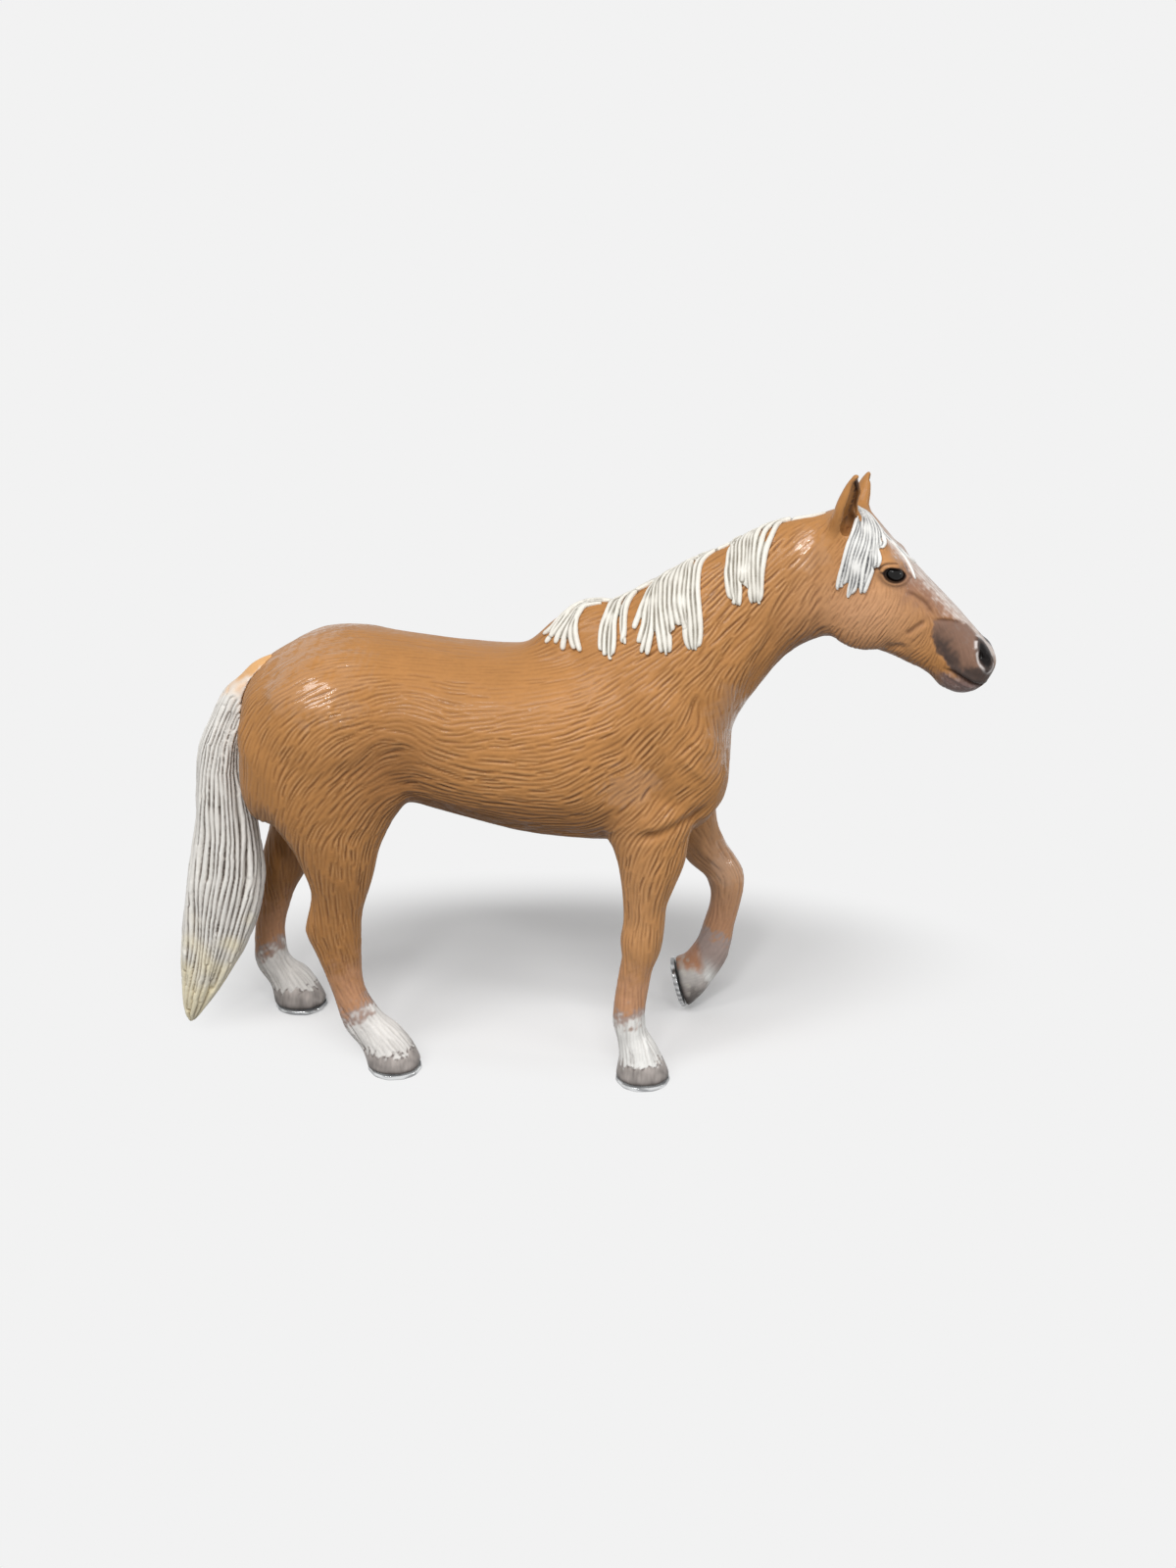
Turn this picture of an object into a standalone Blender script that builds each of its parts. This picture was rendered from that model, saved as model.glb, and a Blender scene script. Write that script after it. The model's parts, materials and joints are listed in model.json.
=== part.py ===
"""Toy horse figure, 137 mm from nose to tail: two moulded trunk halves closed round a core, a plug-in head,
legs and tail, a mane and a forelock laid on the neck and head, eye beads, and a thin pad under each hoof.
Metres, +X towards the nose, +Y the horse's left, +Z up. The figure stands on z = 0, and the origin lies
below the middle of its whole box. A row of shares gives one cross-section of a form: how far forward and
how high its centre is, its lean in degrees, its depth and its width, and on a leg how far out it stands."""

import math

import bmesh
import bpy
from mathutils import Matrix, Vector
from mathutils.bvhtree import BVHTree

# Trunk
TRUNK_LENGTH = 0.0800      # point of the buttock to point of the chest
TRUNK_DEPTH = 0.0360       # belly to withers, without the mane
TRUNK_WIDTH = 0.0310       # across the barrel
BELLY_HEIGHT = 0.0411      # floor to belly

# Neck
NECK_LENGTH = 0.0400       # root to poll, measured level
NECK_RISE = 0.0220         # root to poll, measured upright
NECK_DEPTH = 0.0300        # crest to underside at the root
NECK_WIDTH = 0.0240        # across the root

# Head
HEAD_LENGTH = 0.0300       # poll to muzzle, measured level
HEAD_DEPTH = 0.0200        # forehead to jaw
HEAD_WIDTH = 0.0148        # across the eyes
HEAD_TURN = math.radians(11.0)
EAR_LENGTH = 0.0086
EAR_WIDTH = 0.0054
EAR_THICKNESS = 0.0034
EAR_SPACING = 0.0076
EAR_LEAN = math.radians(15.0)
EAR_SPLAY = math.radians(11.0)
EAR_TURN = math.radians(28.0)
EYE_RADIUS = 0.0015
NOSTRIL_RADIUS = 0.0010
NOSTRIL_DEPTH = 0.0010
MOUTH_HEIGHT = 0.0005      # the slit between the lips
MOUTH_REACH = 0.0060       # from the front of the lips back to the corner of the mouth
MOUTH_LEAN = math.radians(22.0)

# Legs
FORE_LEG_DEPTH = 0.0125    # front to back at the forearm
FORE_LEG_WIDTH = 0.0100
HIND_LEG_DEPTH = 0.0125
HIND_LEG_WIDTH = 0.0100
FORE_STANCE = 0.0220       # between the middles of the two fore legs
HIND_STANCE = 0.0220
HOOF_LENGTH = 0.0096
HOOF_WIDTH = 0.0092
HOOF_SPARE = 0.0024        # hoof modelled below the sole, then cut off flat
PAD_THICKNESS = 0.0008
PAD_OVERHANG = 0.0004      # how far a pad stands out round its hoof

# Tail
TAIL_LENGTH = 0.0680       # dock to tip, measured upright
TAIL_SWEEP = 0.0180        # how far it reaches out behind the dock
TAIL_DEPTH = 0.0130
TAIL_WIDTH = 0.0094
TAIL_SIDES = 21
TAIL_LOCKS = 7
TAIL_TWIST = 2.0           # radians that the locks turn from dock to tip
TAIL_RELIEF_SHARE = 0.05
TAIL_PEG_LEAN = 20.0

# Mane and forelock
LOCK_WIDTH = 0.0026
LOCK_THICKNESS = 0.0022
CREST_WIDTH = 0.0040
FORELOCK_WIDTH = 0.0021
FORELOCK_THICKNESS = 0.0018

# Pegs, pins and the core
JOINT_GAP = 0.0003         # clearance between any two neighbouring pieces
CORE_LENGTH = 0.0520
CORE_DEPTH = 0.0130
CORE_WIDTH = 0.0140
PIN_RADIUS = 0.0013
PIN_LENGTH = 0.0040
LEG_PEG_RADIUS = 0.0022
LEG_PEG_LENGTH = 0.0045
HEAD_PEG_RADIUS = 0.0034
HEAD_PEG_LENGTH = 0.0060
HEAD_PEG_LEAN = 208.0
TAIL_PEG_RADIUS = 0.0013
TAIL_PEG_LENGTH = 0.0055
PEG_ROOT_SHARE = 0.6       # how much of a peg's length is buried in its own piece

# Fineness of the surfaces
GRAIN = 0.0008             # voxel size of the fused body
HAIR_GRAIN = 0.0005        # voxel size of fused hair
OVERRUN = 0.0100           # how far a cutter runs past what it cuts
SMOOTHING_COUNT = 4
HAIR_SMOOTHING_COUNT = 2
RING_SIDES = 20
PEG_SIDES = 14
PAD_SIDES = 28
LOCK_SIDES = 10
BALL_SIDES = 12
BODY_TRIANGLES = 4800
HEAD_TRIANGLES = 1500
MANE_TRIANGLES = 1500
FORELOCK_TRIANGLES = 500

# Cross-sections: fullness 1 is an oval and less is squarer, narrowing is towards the top
TRUNK_FULLNESS = 0.92
TRUNK_NARROWING = 0.10
NECK_NARROWING = 0.28
HEAD_FULLNESS = 0.86
LIMB_FULLNESS = 0.95
LOCK_FULLNESS = 0.90
CORE_FULLNESS = 0.70

# Trunk from the buttock to the chest: forward, bottom, top and width
TRUNK_SHARES = [
    (-0.506, 0.47, 0.67, 0.32), (-0.488, 0.37, 0.78, 0.55), (-0.444, 0.26, 0.86, 0.74),
    (-0.369, 0.20, 0.95, 0.85), (-0.281, 0.20, 0.99, 0.88), (-0.181, 0.20, 0.97, 0.88),
    (-0.056, 0.13, 0.93, 0.93), (0.081, 0.05, 0.92, 0.98), (0.206, 0.02, 0.96, 0.98),
    (0.306, 0.02, 1.02, 0.92), (0.394, 0.03, 1.05, 0.83), (0.452, 0.09, 1.00, 0.71),
    (0.484, 0.22, 0.90, 0.54), (0.500, 0.39, 0.76, 0.29),
]

# Muscles of the trunk: forward, up, out, then the three radii, then the tilt in degrees
MUSCLE_SHARES = [
    (0.375, 0.53, 0.29, 0.112, 0.39, 0.18, -20),    # shoulder
    (0.440, 0.38, 0.17, 0.062, 0.21, 0.18, 0),      # breast
    (-0.320, 0.56, 0.28, 0.160, 0.36, 0.24, 12),    # haunch
    (-0.270, 0.75, 0.19, 0.170, 0.21, 0.21, 4),     # croup
    (-0.205, 0.33, 0.30, 0.055, 0.17, 0.14, 18),    # stifle
    (-0.440, 0.40, 0.22, 0.070, 0.30, 0.20, 8),     # buttock
]

# Neck from its root to the poll
NECK_ROOT_SHARES = (0.206, 0.69)
NECK_SHARES = [
    (0.05, 0.01, 108, 0.86, 0.96), (0.23, 0.05, 108, 1.05, 1.03), (0.39, 0.22, 110, 1.05, 0.96),
    (0.51, 0.49, 110, 0.88, 0.82), (0.63, 0.67, 105, 0.79, 0.68), (0.74, 0.83, 99, 0.73, 0.60),
    (0.86, 0.94, 96, 0.68, 0.55), (0.97, 0.98, 93, 0.67, 0.52),
]

# Head from the poll to the lips
HEAD_SHARES = [
    (-0.11, 0.12, 80, 0.74, 0.70), (-0.02, 0.10, 75, 0.96, 0.80), (0.10, 0.03, 75, 1.02, 0.90),
    (0.23, -0.10, 78, 0.92, 0.89), (0.36, -0.21, 82, 0.81, 0.81), (0.48, -0.34, 80, 0.71, 0.70),
    (0.60, -0.47, 73, 0.60, 0.58), (0.68, -0.59, 65, 0.56, 0.54), (0.76, -0.69, 62, 0.50, 0.53),
    (0.83, -0.73, 62, 0.38, 0.47), (0.87, -0.75, 60, 0.20, 0.33),
]

# Bumps of the head: forward, up, out, then the three radii
BUMP_SHARES = [
    (0.20, -0.20, 0.26, 0.24, 0.37, 0.24),    # cheek
    (0.31, 0.19, 0.33, 0.09, 0.07, 0.09),     # brow
    (0.80, -0.60, 0.17, 0.08, 0.14, 0.13),    # nostril
    (0.66, -0.80, 0.00, 0.09, 0.10, 0.17),    # chin
]
EYE_SHARES = (0.340, 0.150)
NOSTRIL_SHARES = (0.825, -0.55)
LIPS_SHARES = (0.80, -0.82)
EAR_SHARES = {-1: (0.063, 0.52), 1: (0.090, 0.40)}
EYE_SEAT_SHARE = 0.55
EAR_HOLLOW_SHARE = 0.62
HEAD_AXIS_SHARES = (0.80, -0.62)

# Ear from its root to the tip: up, width and thickness
EAR_RING_SHARES = [
    (-0.25, 0.75, 0.95), (0.00, 0.95, 1.00), (0.30, 1.00, 0.95), (0.55, 0.88, 0.82),
    (0.80, 0.56, 0.60), (0.95, 0.25, 0.36), (1.00, 0.08, 0.12),
]

# Legs from the top down to the coronet, the last share being how far out the row stands
FORE_RIGHT_SHARES = [
    (0.01, 1.140, 0, 1.44, 0.84, 0.73), (0.01, 1.020, -3, 1.33, 1.04, 0.87),
    (0.01, 0.922, -1, 1.10, 1.00, 0.93), (0.02, 0.827, -1, 0.93, 0.94, 0.96),
    (0.01, 0.737, -2, 0.72, 0.82, 0.99), (0.00, 0.666, -5, 0.59, 0.70, 1.00),
    (0.00, 0.597, -4, 0.57, 0.69, 1.00), (-0.01, 0.534, -2, 0.59, 0.70, 1.02),
    (-0.01, 0.480, 0, 0.52, 0.62, 1.02), (-0.03, 0.420, 0, 0.46, 0.52, 1.02),
    (-0.04, 0.339, -3, 0.46, 0.50, 1.03), (-0.05, 0.269, 3, 0.46, 0.56, 1.03),
    (-0.05, 0.218, 6, 0.46, 0.60, 1.03), (-0.04, 0.178, 9, 0.42, 0.57, 1.03),
    (-0.02, 0.128, 16, 0.52, 0.72, 1.03), (-0.01, 0.084, 8, 0.60, 0.82, 1.03),
]
FORE_LEFT_SHARES = [
    (0.01, 1.140, 0, 1.44, 0.84, 0.73), (0.06, 1.023, -5, 1.30, 1.02, 0.85),
    (0.10, 0.924, -3, 1.09, 0.98, 0.95), (0.13, 0.832, -4, 0.85, 0.92, 1.02),
    (0.16, 0.740, 3, 0.68, 0.82, 1.09), (0.19, 0.668, 11, 0.65, 0.72, 1.13),
    (0.22, 0.616, 14, 0.65, 0.70, 1.15), (0.26, 0.571, 5, 0.60, 0.70, 1.18),
    (0.28, 0.522, 2, 0.53, 0.66, 1.18), (0.28, 0.464, 0, 0.46, 0.58, 1.18),
    (0.27, 0.404, -4, 0.44, 0.52, 1.18), (0.25, 0.332, -8, 0.48, 0.50, 1.18),
    (0.24, 0.272, -11, 0.51, 0.56, 1.18), (0.22, 0.224, -23, 0.56, 0.60, 1.20),
    (0.20, 0.190, -36, 0.56, 0.58, 1.22), (0.185, 0.160, -46, 0.58, 0.72, 1.25),
    (0.165, 0.132, -58, 0.64, 0.82, 1.27),
]
HIND_RIGHT_SHARES = [
    (-0.17, 1.350, -6, 2.29, 1.00, 0.59), (-0.19, 1.185, -5, 2.33, 1.30, 0.77),
    (-0.19, 1.045, -5, 2.09, 1.30, 0.80), (-0.18, 0.933, -1, 1.62, 1.16, 0.84),
    (-0.17, 0.850, 0, 1.23, 1.04, 0.86), (-0.16, 0.759, 0, 0.98, 0.90, 0.87),
    (-0.16, 0.673, 2, 0.78, 0.76, 0.87), (-0.18, 0.599, 1, 0.74, 0.68, 0.87),
    (-0.19, 0.534, 1, 0.79, 0.68, 0.86), (-0.18, 0.476, 3, 0.69, 0.62, 0.86),
    (-0.17, 0.414, 5, 0.59, 0.54, 0.85), (-0.16, 0.345, 5, 0.50, 0.50, 0.85),
    (-0.14, 0.280, 6, 0.48, 0.56, 0.85), (-0.12, 0.228, 12, 0.54, 0.61, 0.85),
    (-0.10, 0.180, 23, 0.58, 0.58, 0.85), (-0.05, 0.132, 25, 0.62, 0.72, 0.85),
    (-0.02, 0.082, 13, 0.70, 0.84, 0.85),
]
HIND_LEFT_SHARES = [
    (0.22, 1.300, -4, 2.33, 1.00, 0.59), (0.19, 1.145, -5, 2.25, 1.30, 0.77),
    (0.15, 0.990, -5, 1.80, 1.22, 0.86), (0.11, 0.875, -5, 1.34, 1.06, 0.95),
    (0.07, 0.775, -7, 1.05, 0.90, 1.00), (0.02, 0.680, -5, 0.85, 0.76, 1.05),
    (-0.02, 0.600, -2, 0.74, 0.68, 1.07), (-0.04, 0.540, -3, 0.68, 0.68, 1.09),
    (-0.06, 0.474, 0, 0.53, 0.61, 1.09), (-0.08, 0.394, 6, 0.48, 0.54, 1.09),
    (-0.10, 0.314, 6, 0.46, 0.50, 1.09), (-0.10, 0.254, 10, 0.48, 0.56, 1.09),
    (-0.10, 0.199, 11, 0.51, 0.60, 1.09), (-0.08, 0.155, 17, 0.54, 0.57, 1.09),
    (-0.04, 0.123, 21, 0.58, 0.72, 1.09), (-0.02, 0.080, 14, 0.66, 0.84, 1.09),
]

# Tail from the dock to the tip, the dock being so much of the sweep in front of the trunk's back end
DOCK_UP_SHARE = 0.805
DOCK_SET_SHARE = 0.2756
TAIL_SHARES = [
    (0.03, -0.01, 106, 0.50, 0.43), (-0.19, -0.05, 102, 0.60, 0.55), (-0.35, -0.13, 114, 0.66, 0.66),
    (-0.44, -0.19, 124, 0.72, 0.77), (-0.49, -0.26, 136, 0.83, 0.87), (-0.50, -0.35, 145, 0.88, 0.96),
    (-0.50, -0.44, 152, 0.91, 1.00), (-0.53, -0.54, 160, 1.00, 1.00), (-0.60, -0.63, 167, 0.99, 0.96),
    (-0.69, -0.73, 173, 0.90, 0.89), (-0.79, -0.82, 184, 0.72, 0.77), (-0.89, -0.90, 186, 0.48, 0.55),
    (-0.96, -0.96, 197, 0.26, 0.32), (-0.98, -0.99, 207, 0.09, 0.13),
]

# Locks of the mane: root and tip along the neck, how far down the right side in degrees, and width
MANE_SHARES = [
    (-0.09, -0.21, 8, 0.80), (-0.04, -0.16, 15, 0.80), (0.01, -0.10, 19, 0.80), (0.06, -0.03, 27, 0.80),
    (0.14, 0.08, 52, 1.00), (0.19, 0.14, 44, 0.80),
    (0.31, 0.21, 46, 0.80), (0.35, 0.25, 63, 1.00), (0.39, 0.32, 66, 1.00), (0.43, 0.37, 52, 1.00),
    (0.47, 0.43, 66, 1.10),
    (0.64, 0.58, 52, 1.00), (0.70, 0.64, 38, 1.00), (0.76, 0.68, 54, 1.10),
]

MANE_END_SHARES = (-0.16, 0.95)

# Locks of the forelock: root and tip along the head, how far down the right side in degrees, and width
FORELOCK_SHARES = [
    (0.24, 0.11, 76, 1.00), (0.26, 0.17, 80, 1.00), (0.27, 0.23, 78, 1.00), (0.28, 0.30, 58, 0.90),
    (0.29, 0.37, 48, 0.80), (0.27, 0.60, 24, 0.80),
]

# Places of the core, the pins and the tail's peg: forward, up
TAIL_PEG_SHARES = (-0.10, -0.06)
CORE_SHARES = (-0.10, 0.55)
PIN_SHARES = [(0.36, 0.86), (0.16, 0.16), (-0.33, 0.80)]

# Legs: where each stands along the trunk, its side, its rows, its sole's lean in degrees, how far
# forward the sole lies, and the place of its peg, forward and out
LEG_TOP_SHARE = 0.25
LEGS_SHARES = {
    "fore_leg_right": (0.329, -1, FORE_RIGHT_SHARES, 0, 0.00, (0.01, 0.90)),
    "fore_leg_left": (0.329, 1, FORE_LEFT_SHARES, -74, 0.13, (0.10, 0.92)),
    "hind_leg_right": (-0.205, -1, HIND_RIGHT_SHARES, 0, 0.00, (-0.18, 0.82)),
    "hind_leg_left": (-0.450, 1, HIND_LEFT_SHARES, 0, 0.00, (0.14, 0.88)),
}

# Seams: a fore leg starts at the elbow's crease, a hind leg below the stifle, the head behind the jaw
FORE_SEAM_SHARES = (0.244, 0.153)
FORE_SEAM_SLOPE = 0.10
FORE_INNER_SHARE = 0.42
HIND_SEAM_SHARES = (-0.150, 0.122)
HIND_SEAM_SLOPE = 0.0
HEAD_SEAM_SHARES = (0.925, 0.98)
HEAD_SEAM_LEAN = math.radians(-6.0)

# Colours with roughness
COAT = (0.52, 0.27, 0.10)
HAIR = (0.86, 0.84, 0.78)
TAIL_HAIR = (0.80, 0.76, 0.64)
EYE = (0.01, 0.008, 0.007)
PAD = (0.62, 0.62, 0.60)
CORE = (0.12, 0.12, 0.12)


def material(name, colour, roughness):
    made = bpy.data.materials.new(name)
    made.use_nodes = True
    shader = made.node_tree.nodes["Principled BSDF"]
    shader.inputs["Base Color"].default_value = (*colour, 1)
    shader.inputs["Roughness"].default_value = roughness
    shader.inputs["Metallic"].default_value = 0
    return made


def new_object(name, mesh):
    piece = bpy.data.objects.new(name, mesh)
    bpy.context.scene.collection.objects.link(piece)
    return piece


def settle(piece):
    """Turn a piece's modifiers into its own mesh."""
    view = bpy.context.evaluated_depsgraph_get()
    view.update()
    mesh = bpy.data.meshes.new_from_object(piece.evaluated_get(view))
    piece.modifiers.clear()
    piece.data = mesh
    return piece


def drop(piece):
    bpy.data.objects.remove(piece)


def copy(piece, name):
    return new_object(name, piece.data.copy())


# Forms

def blend(rows, steps=3):
    """Rows of a form with more between them, on a smooth curve through them all."""
    finer = []
    last = len(rows) - 1
    for index in range(last):
        before = rows[max(index - 1, 0)]
        start = rows[index]
        end = rows[index + 1]
        after = rows[min(index + 2, last)]
        for step in range(steps):
            t = step / steps
            finer.append(tuple(
                0.5 * (2 * b + (c - a) * t + (2 * a - 5 * b + 4 * c - d) * t ** 2
                       + (3 * b - a - 3 * c + d) * t ** 3)
                for a, b, c, d in zip(before, start, end, after)))
    finer.append(rows[last])
    return finer


def ring(centre, along, across, fullness=0.9, narrowing=0.0, sides=RING_SIDES):
    """One cross-section: an oval round centre, squarer below 1, narrower towards +along."""
    points = []
    for side in range(sides):
        angle = math.tau * side / sides
        up = math.copysign(abs(math.cos(angle)) ** fullness, math.cos(angle))
        out = math.copysign(abs(math.sin(angle)) ** fullness, math.sin(angle))
        points.append(centre + along * up + across * (out * (1 - narrowing * up)))
    return points


def loft(name, rings):
    """A closed skin over a row of rings."""
    form = bmesh.new()
    loops = [[form.verts.new(point) for point in points] for points in rings]
    count = len(loops[0])
    for lower, upper in zip(loops, loops[1:]):
        for side in range(count):
            after = (side + 1) % count
            form.faces.new((lower[side], lower[after], upper[after], upper[side]))
    form.faces.new(reversed(loops[0]))
    form.faces.new(loops[-1])
    bmesh.ops.recalc_face_normals(form, faces=form.faces)
    mesh = bpy.data.meshes.new(name)
    form.to_mesh(mesh)
    form.free()
    return new_object(name, mesh)


def ball(name, centre, radii, turn=Matrix.Identity(3)):
    form = bmesh.new()
    bmesh.ops.create_uvsphere(form, u_segments=BALL_SIDES, v_segments=BALL_SIDES // 2, radius=1)
    place = Matrix.Translation(centre) @ turn.to_4x4() @ Matrix.Diagonal((*radii, 1))
    form.transform(place)
    mesh = bpy.data.meshes.new(name)
    form.to_mesh(mesh)
    form.free()
    return new_object(name, mesh)


def rod(name, start, end, radius, sides=PEG_SIDES):
    """A round peg from start to end."""
    form = bmesh.new()
    run = end - start
    bmesh.ops.create_cone(form, cap_ends=True, segments=sides, radius1=radius, radius2=radius,
                          depth=run.length)
    turn = Vector((0, 0, 1)).rotation_difference(run).to_matrix().to_4x4()
    form.transform(Matrix.Translation((start + end) / 2) @ turn)
    mesh = bpy.data.meshes.new(name)
    form.to_mesh(mesh)
    form.free()
    return new_object(name, mesh)


def block(name, low, high, place=Matrix.Identity(4)):
    """A box between two corners, in the frame of place."""
    form = bmesh.new()
    bmesh.ops.create_cube(form, size=1)
    middle = Matrix.Translation((Vector(low) + Vector(high)) / 2)
    form.transform(place @ middle @ Matrix.Diagonal((*(Vector(high) - Vector(low)), 1)))
    mesh = bpy.data.meshes.new(name)
    form.to_mesh(mesh)
    form.free()
    return new_object(name, mesh)


def combine(target, tool, operation):
    """Cut, keep or add the tool's shape on the target, then drop the tool."""
    change = target.modifiers.new(operation, 'BOOLEAN')
    change.operation = operation
    change.solver = 'EXACT'
    change.object = tool
    settle(target)
    drop(tool)
    return target


def fuse(name, pieces, grain, smoothing):
    """Melt overlapping closed forms into one smooth skin."""
    form = bmesh.new()
    for piece in pieces:
        form.from_mesh(piece.data)
        drop(piece)
    mesh = bpy.data.meshes.new(name)
    form.to_mesh(mesh)
    form.free()
    fused = new_object(name, mesh)
    skin = fused.modifiers.new("skin", 'REMESH')
    skin.mode = 'VOXEL'
    skin.voxel_size = grain
    smooth = fused.modifiers.new("smooth", 'SMOOTH')
    smooth.factor = 0.5
    smooth.iterations = smoothing
    return settle(fused)


def thin_out(piece, triangles):
    """Bring a piece down to about so many triangles."""
    piece.data.calc_loop_triangles()
    fewer = piece.modifiers.new("fewer", 'DECIMATE')
    fewer.ratio = min(triangles / len(piece.data.loop_triangles), 1)
    fewer.use_collapse_triangulate = True
    return settle(piece)


def grown(piece, distance):
    """A copy of a piece with its skin moved outwards."""
    wider = copy(piece, piece.name + "_grown")
    form = bmesh.new()
    form.from_mesh(wider.data)
    form.normal_update()
    for point in form.verts:
        point.co += point.normal * distance
    form.to_mesh(wider.data)
    form.free()
    return wider


def largest_body(piece):
    """Keep only the biggest connected body of a piece."""
    form = bmesh.new()
    form.from_mesh(piece.data)
    waiting = set(form.verts)
    bodies = []
    while waiting:
        seed = waiting.pop()
        body = {seed}
        edge = [seed]
        while edge:
            point = edge.pop()
            for link in point.link_edges:
                other = link.other_vert(point)
                if other in waiting:
                    waiting.discard(other)
                    body.add(other)
                    edge.append(other)
        bodies.append(body)
    bodies.sort(key=len)
    for body in bodies[:-1]:
        bmesh.ops.delete(form, geom=list(body), context='VERTS')
    form.to_mesh(piece.data)
    form.free()
    return piece


def both_sides(point):
    """A point and its mirror image across the middle plane."""
    return [Vector(point), Vector((point[0], -point[1], point[2]))]


# Frames of the body

def on_trunk(forward_share, up_share, out_share=0):
    return Vector((TRUNK_LENGTH * forward_share, TRUNK_WIDTH * out_share,
                   BELLY_HEIGHT + TRUNK_DEPTH * up_share))


NECK_ROOT = on_trunk(*NECK_ROOT_SHARES)


def on_neck(forward_share, up_share):
    return NECK_ROOT + Vector((NECK_LENGTH * forward_share, 0, NECK_RISE * up_share))


POLL = on_neck(*NECK_SHARES[-1][:2])
HEAD_PLACE = Matrix.Translation(POLL) @ Matrix.Rotation(-HEAD_TURN, 4, 'Z')


def on_head(forward_share, up_share, out_share=0):
    """A point of the head before it is turned, with the poll as its origin."""
    return Vector((HEAD_LENGTH * forward_share, HEAD_WIDTH * out_share, HEAD_DEPTH * up_share))


def leaning(angle, length):
    """A vector in the middle plane, so many degrees up from level."""
    return Vector((math.cos(math.radians(angle)), 0, math.sin(math.radians(angle)))) * length


# Trunk, neck and head

def trunk_forms():
    rings = []
    for forward, bottom, top, width in blend(TRUNK_SHARES):
        centre = on_trunk(forward, (bottom + top) / 2)
        along = Vector((0, 0, TRUNK_DEPTH * (top - bottom) / 2))
        rings.append(ring(centre, along, Vector((0, TRUNK_WIDTH / 2 * width, 0)), TRUNK_FULLNESS,
                          TRUNK_NARROWING))
    forms = [loft("trunk", rings)]
    for forward, up, out, length, depth, width, tilt in MUSCLE_SHARES:
        radii = (TRUNK_LENGTH * length, TRUNK_WIDTH * width, TRUNK_DEPTH * depth)
        turn = Matrix.Rotation(math.radians(tilt), 3, 'Y')
        for centre in both_sides(on_trunk(forward, up, out)):
            forms.append(ball("muscle", centre, radii, turn))
    return forms


def neck_form():
    rings = []
    for forward, up, lean, depth, width in blend(NECK_SHARES):
        along = leaning(lean, NECK_DEPTH / 2 * depth)
        rings.append(ring(on_neck(forward, up), along, Vector((0, NECK_WIDTH / 2 * width, 0)), TRUNK_FULLNESS,
                          NECK_NARROWING))
    return loft("neck", rings)


def head_forms():
    rings = []
    for forward, up, lean, depth, width in blend(HEAD_SHARES):
        along = leaning(lean, HEAD_DEPTH / 2 * depth)
        rings.append(ring(on_head(forward, up), along, Vector((0, HEAD_WIDTH / 2 * width, 0)), HEAD_FULLNESS))
    forms = [loft("head", rings)]
    for forward, up, out, length, depth, width in BUMP_SHARES:
        radii = (HEAD_LENGTH * length, HEAD_WIDTH * width, HEAD_DEPTH * depth)
        for centre in both_sides(on_head(forward, up, out)):
            forms.append(ball("bump", centre, radii))
    for side in (-1, 1):
        forms.append(ear_form(side, 1))
    for form in forms:
        form.data.transform(HEAD_PLACE)
    return forms


def ear_frame(side):
    base = on_head(*EAR_SHARES[side]) + Vector((0, side * EAR_SPACING / 2, 0))
    return (Matrix.Translation(base) @ Matrix.Rotation(-side * EAR_SPLAY, 4, 'X')
            @ Matrix.Rotation(EAR_LEAN, 4, 'Y') @ Matrix.Rotation(side * EAR_TURN, 4, 'Z'))


def ear_form(side, scale, steps=3):
    frame = ear_frame(side)
    rings = []
    for up, width, thickness in blend(EAR_RING_SHARES, steps):
        centre = frame @ Vector((0, 0, EAR_LENGTH * up))
        across = frame.to_3x3() @ Vector((0, EAR_WIDTH / 2 * width * scale, 0))
        along = frame.to_3x3() @ Vector((EAR_THICKNESS / 2 * thickness * scale, 0, 0))
        rings.append(ring(centre, along, across, 1.0, 0.0, BALL_SIDES))
    return loft("ear", rings)


# Legs and pads

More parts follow.
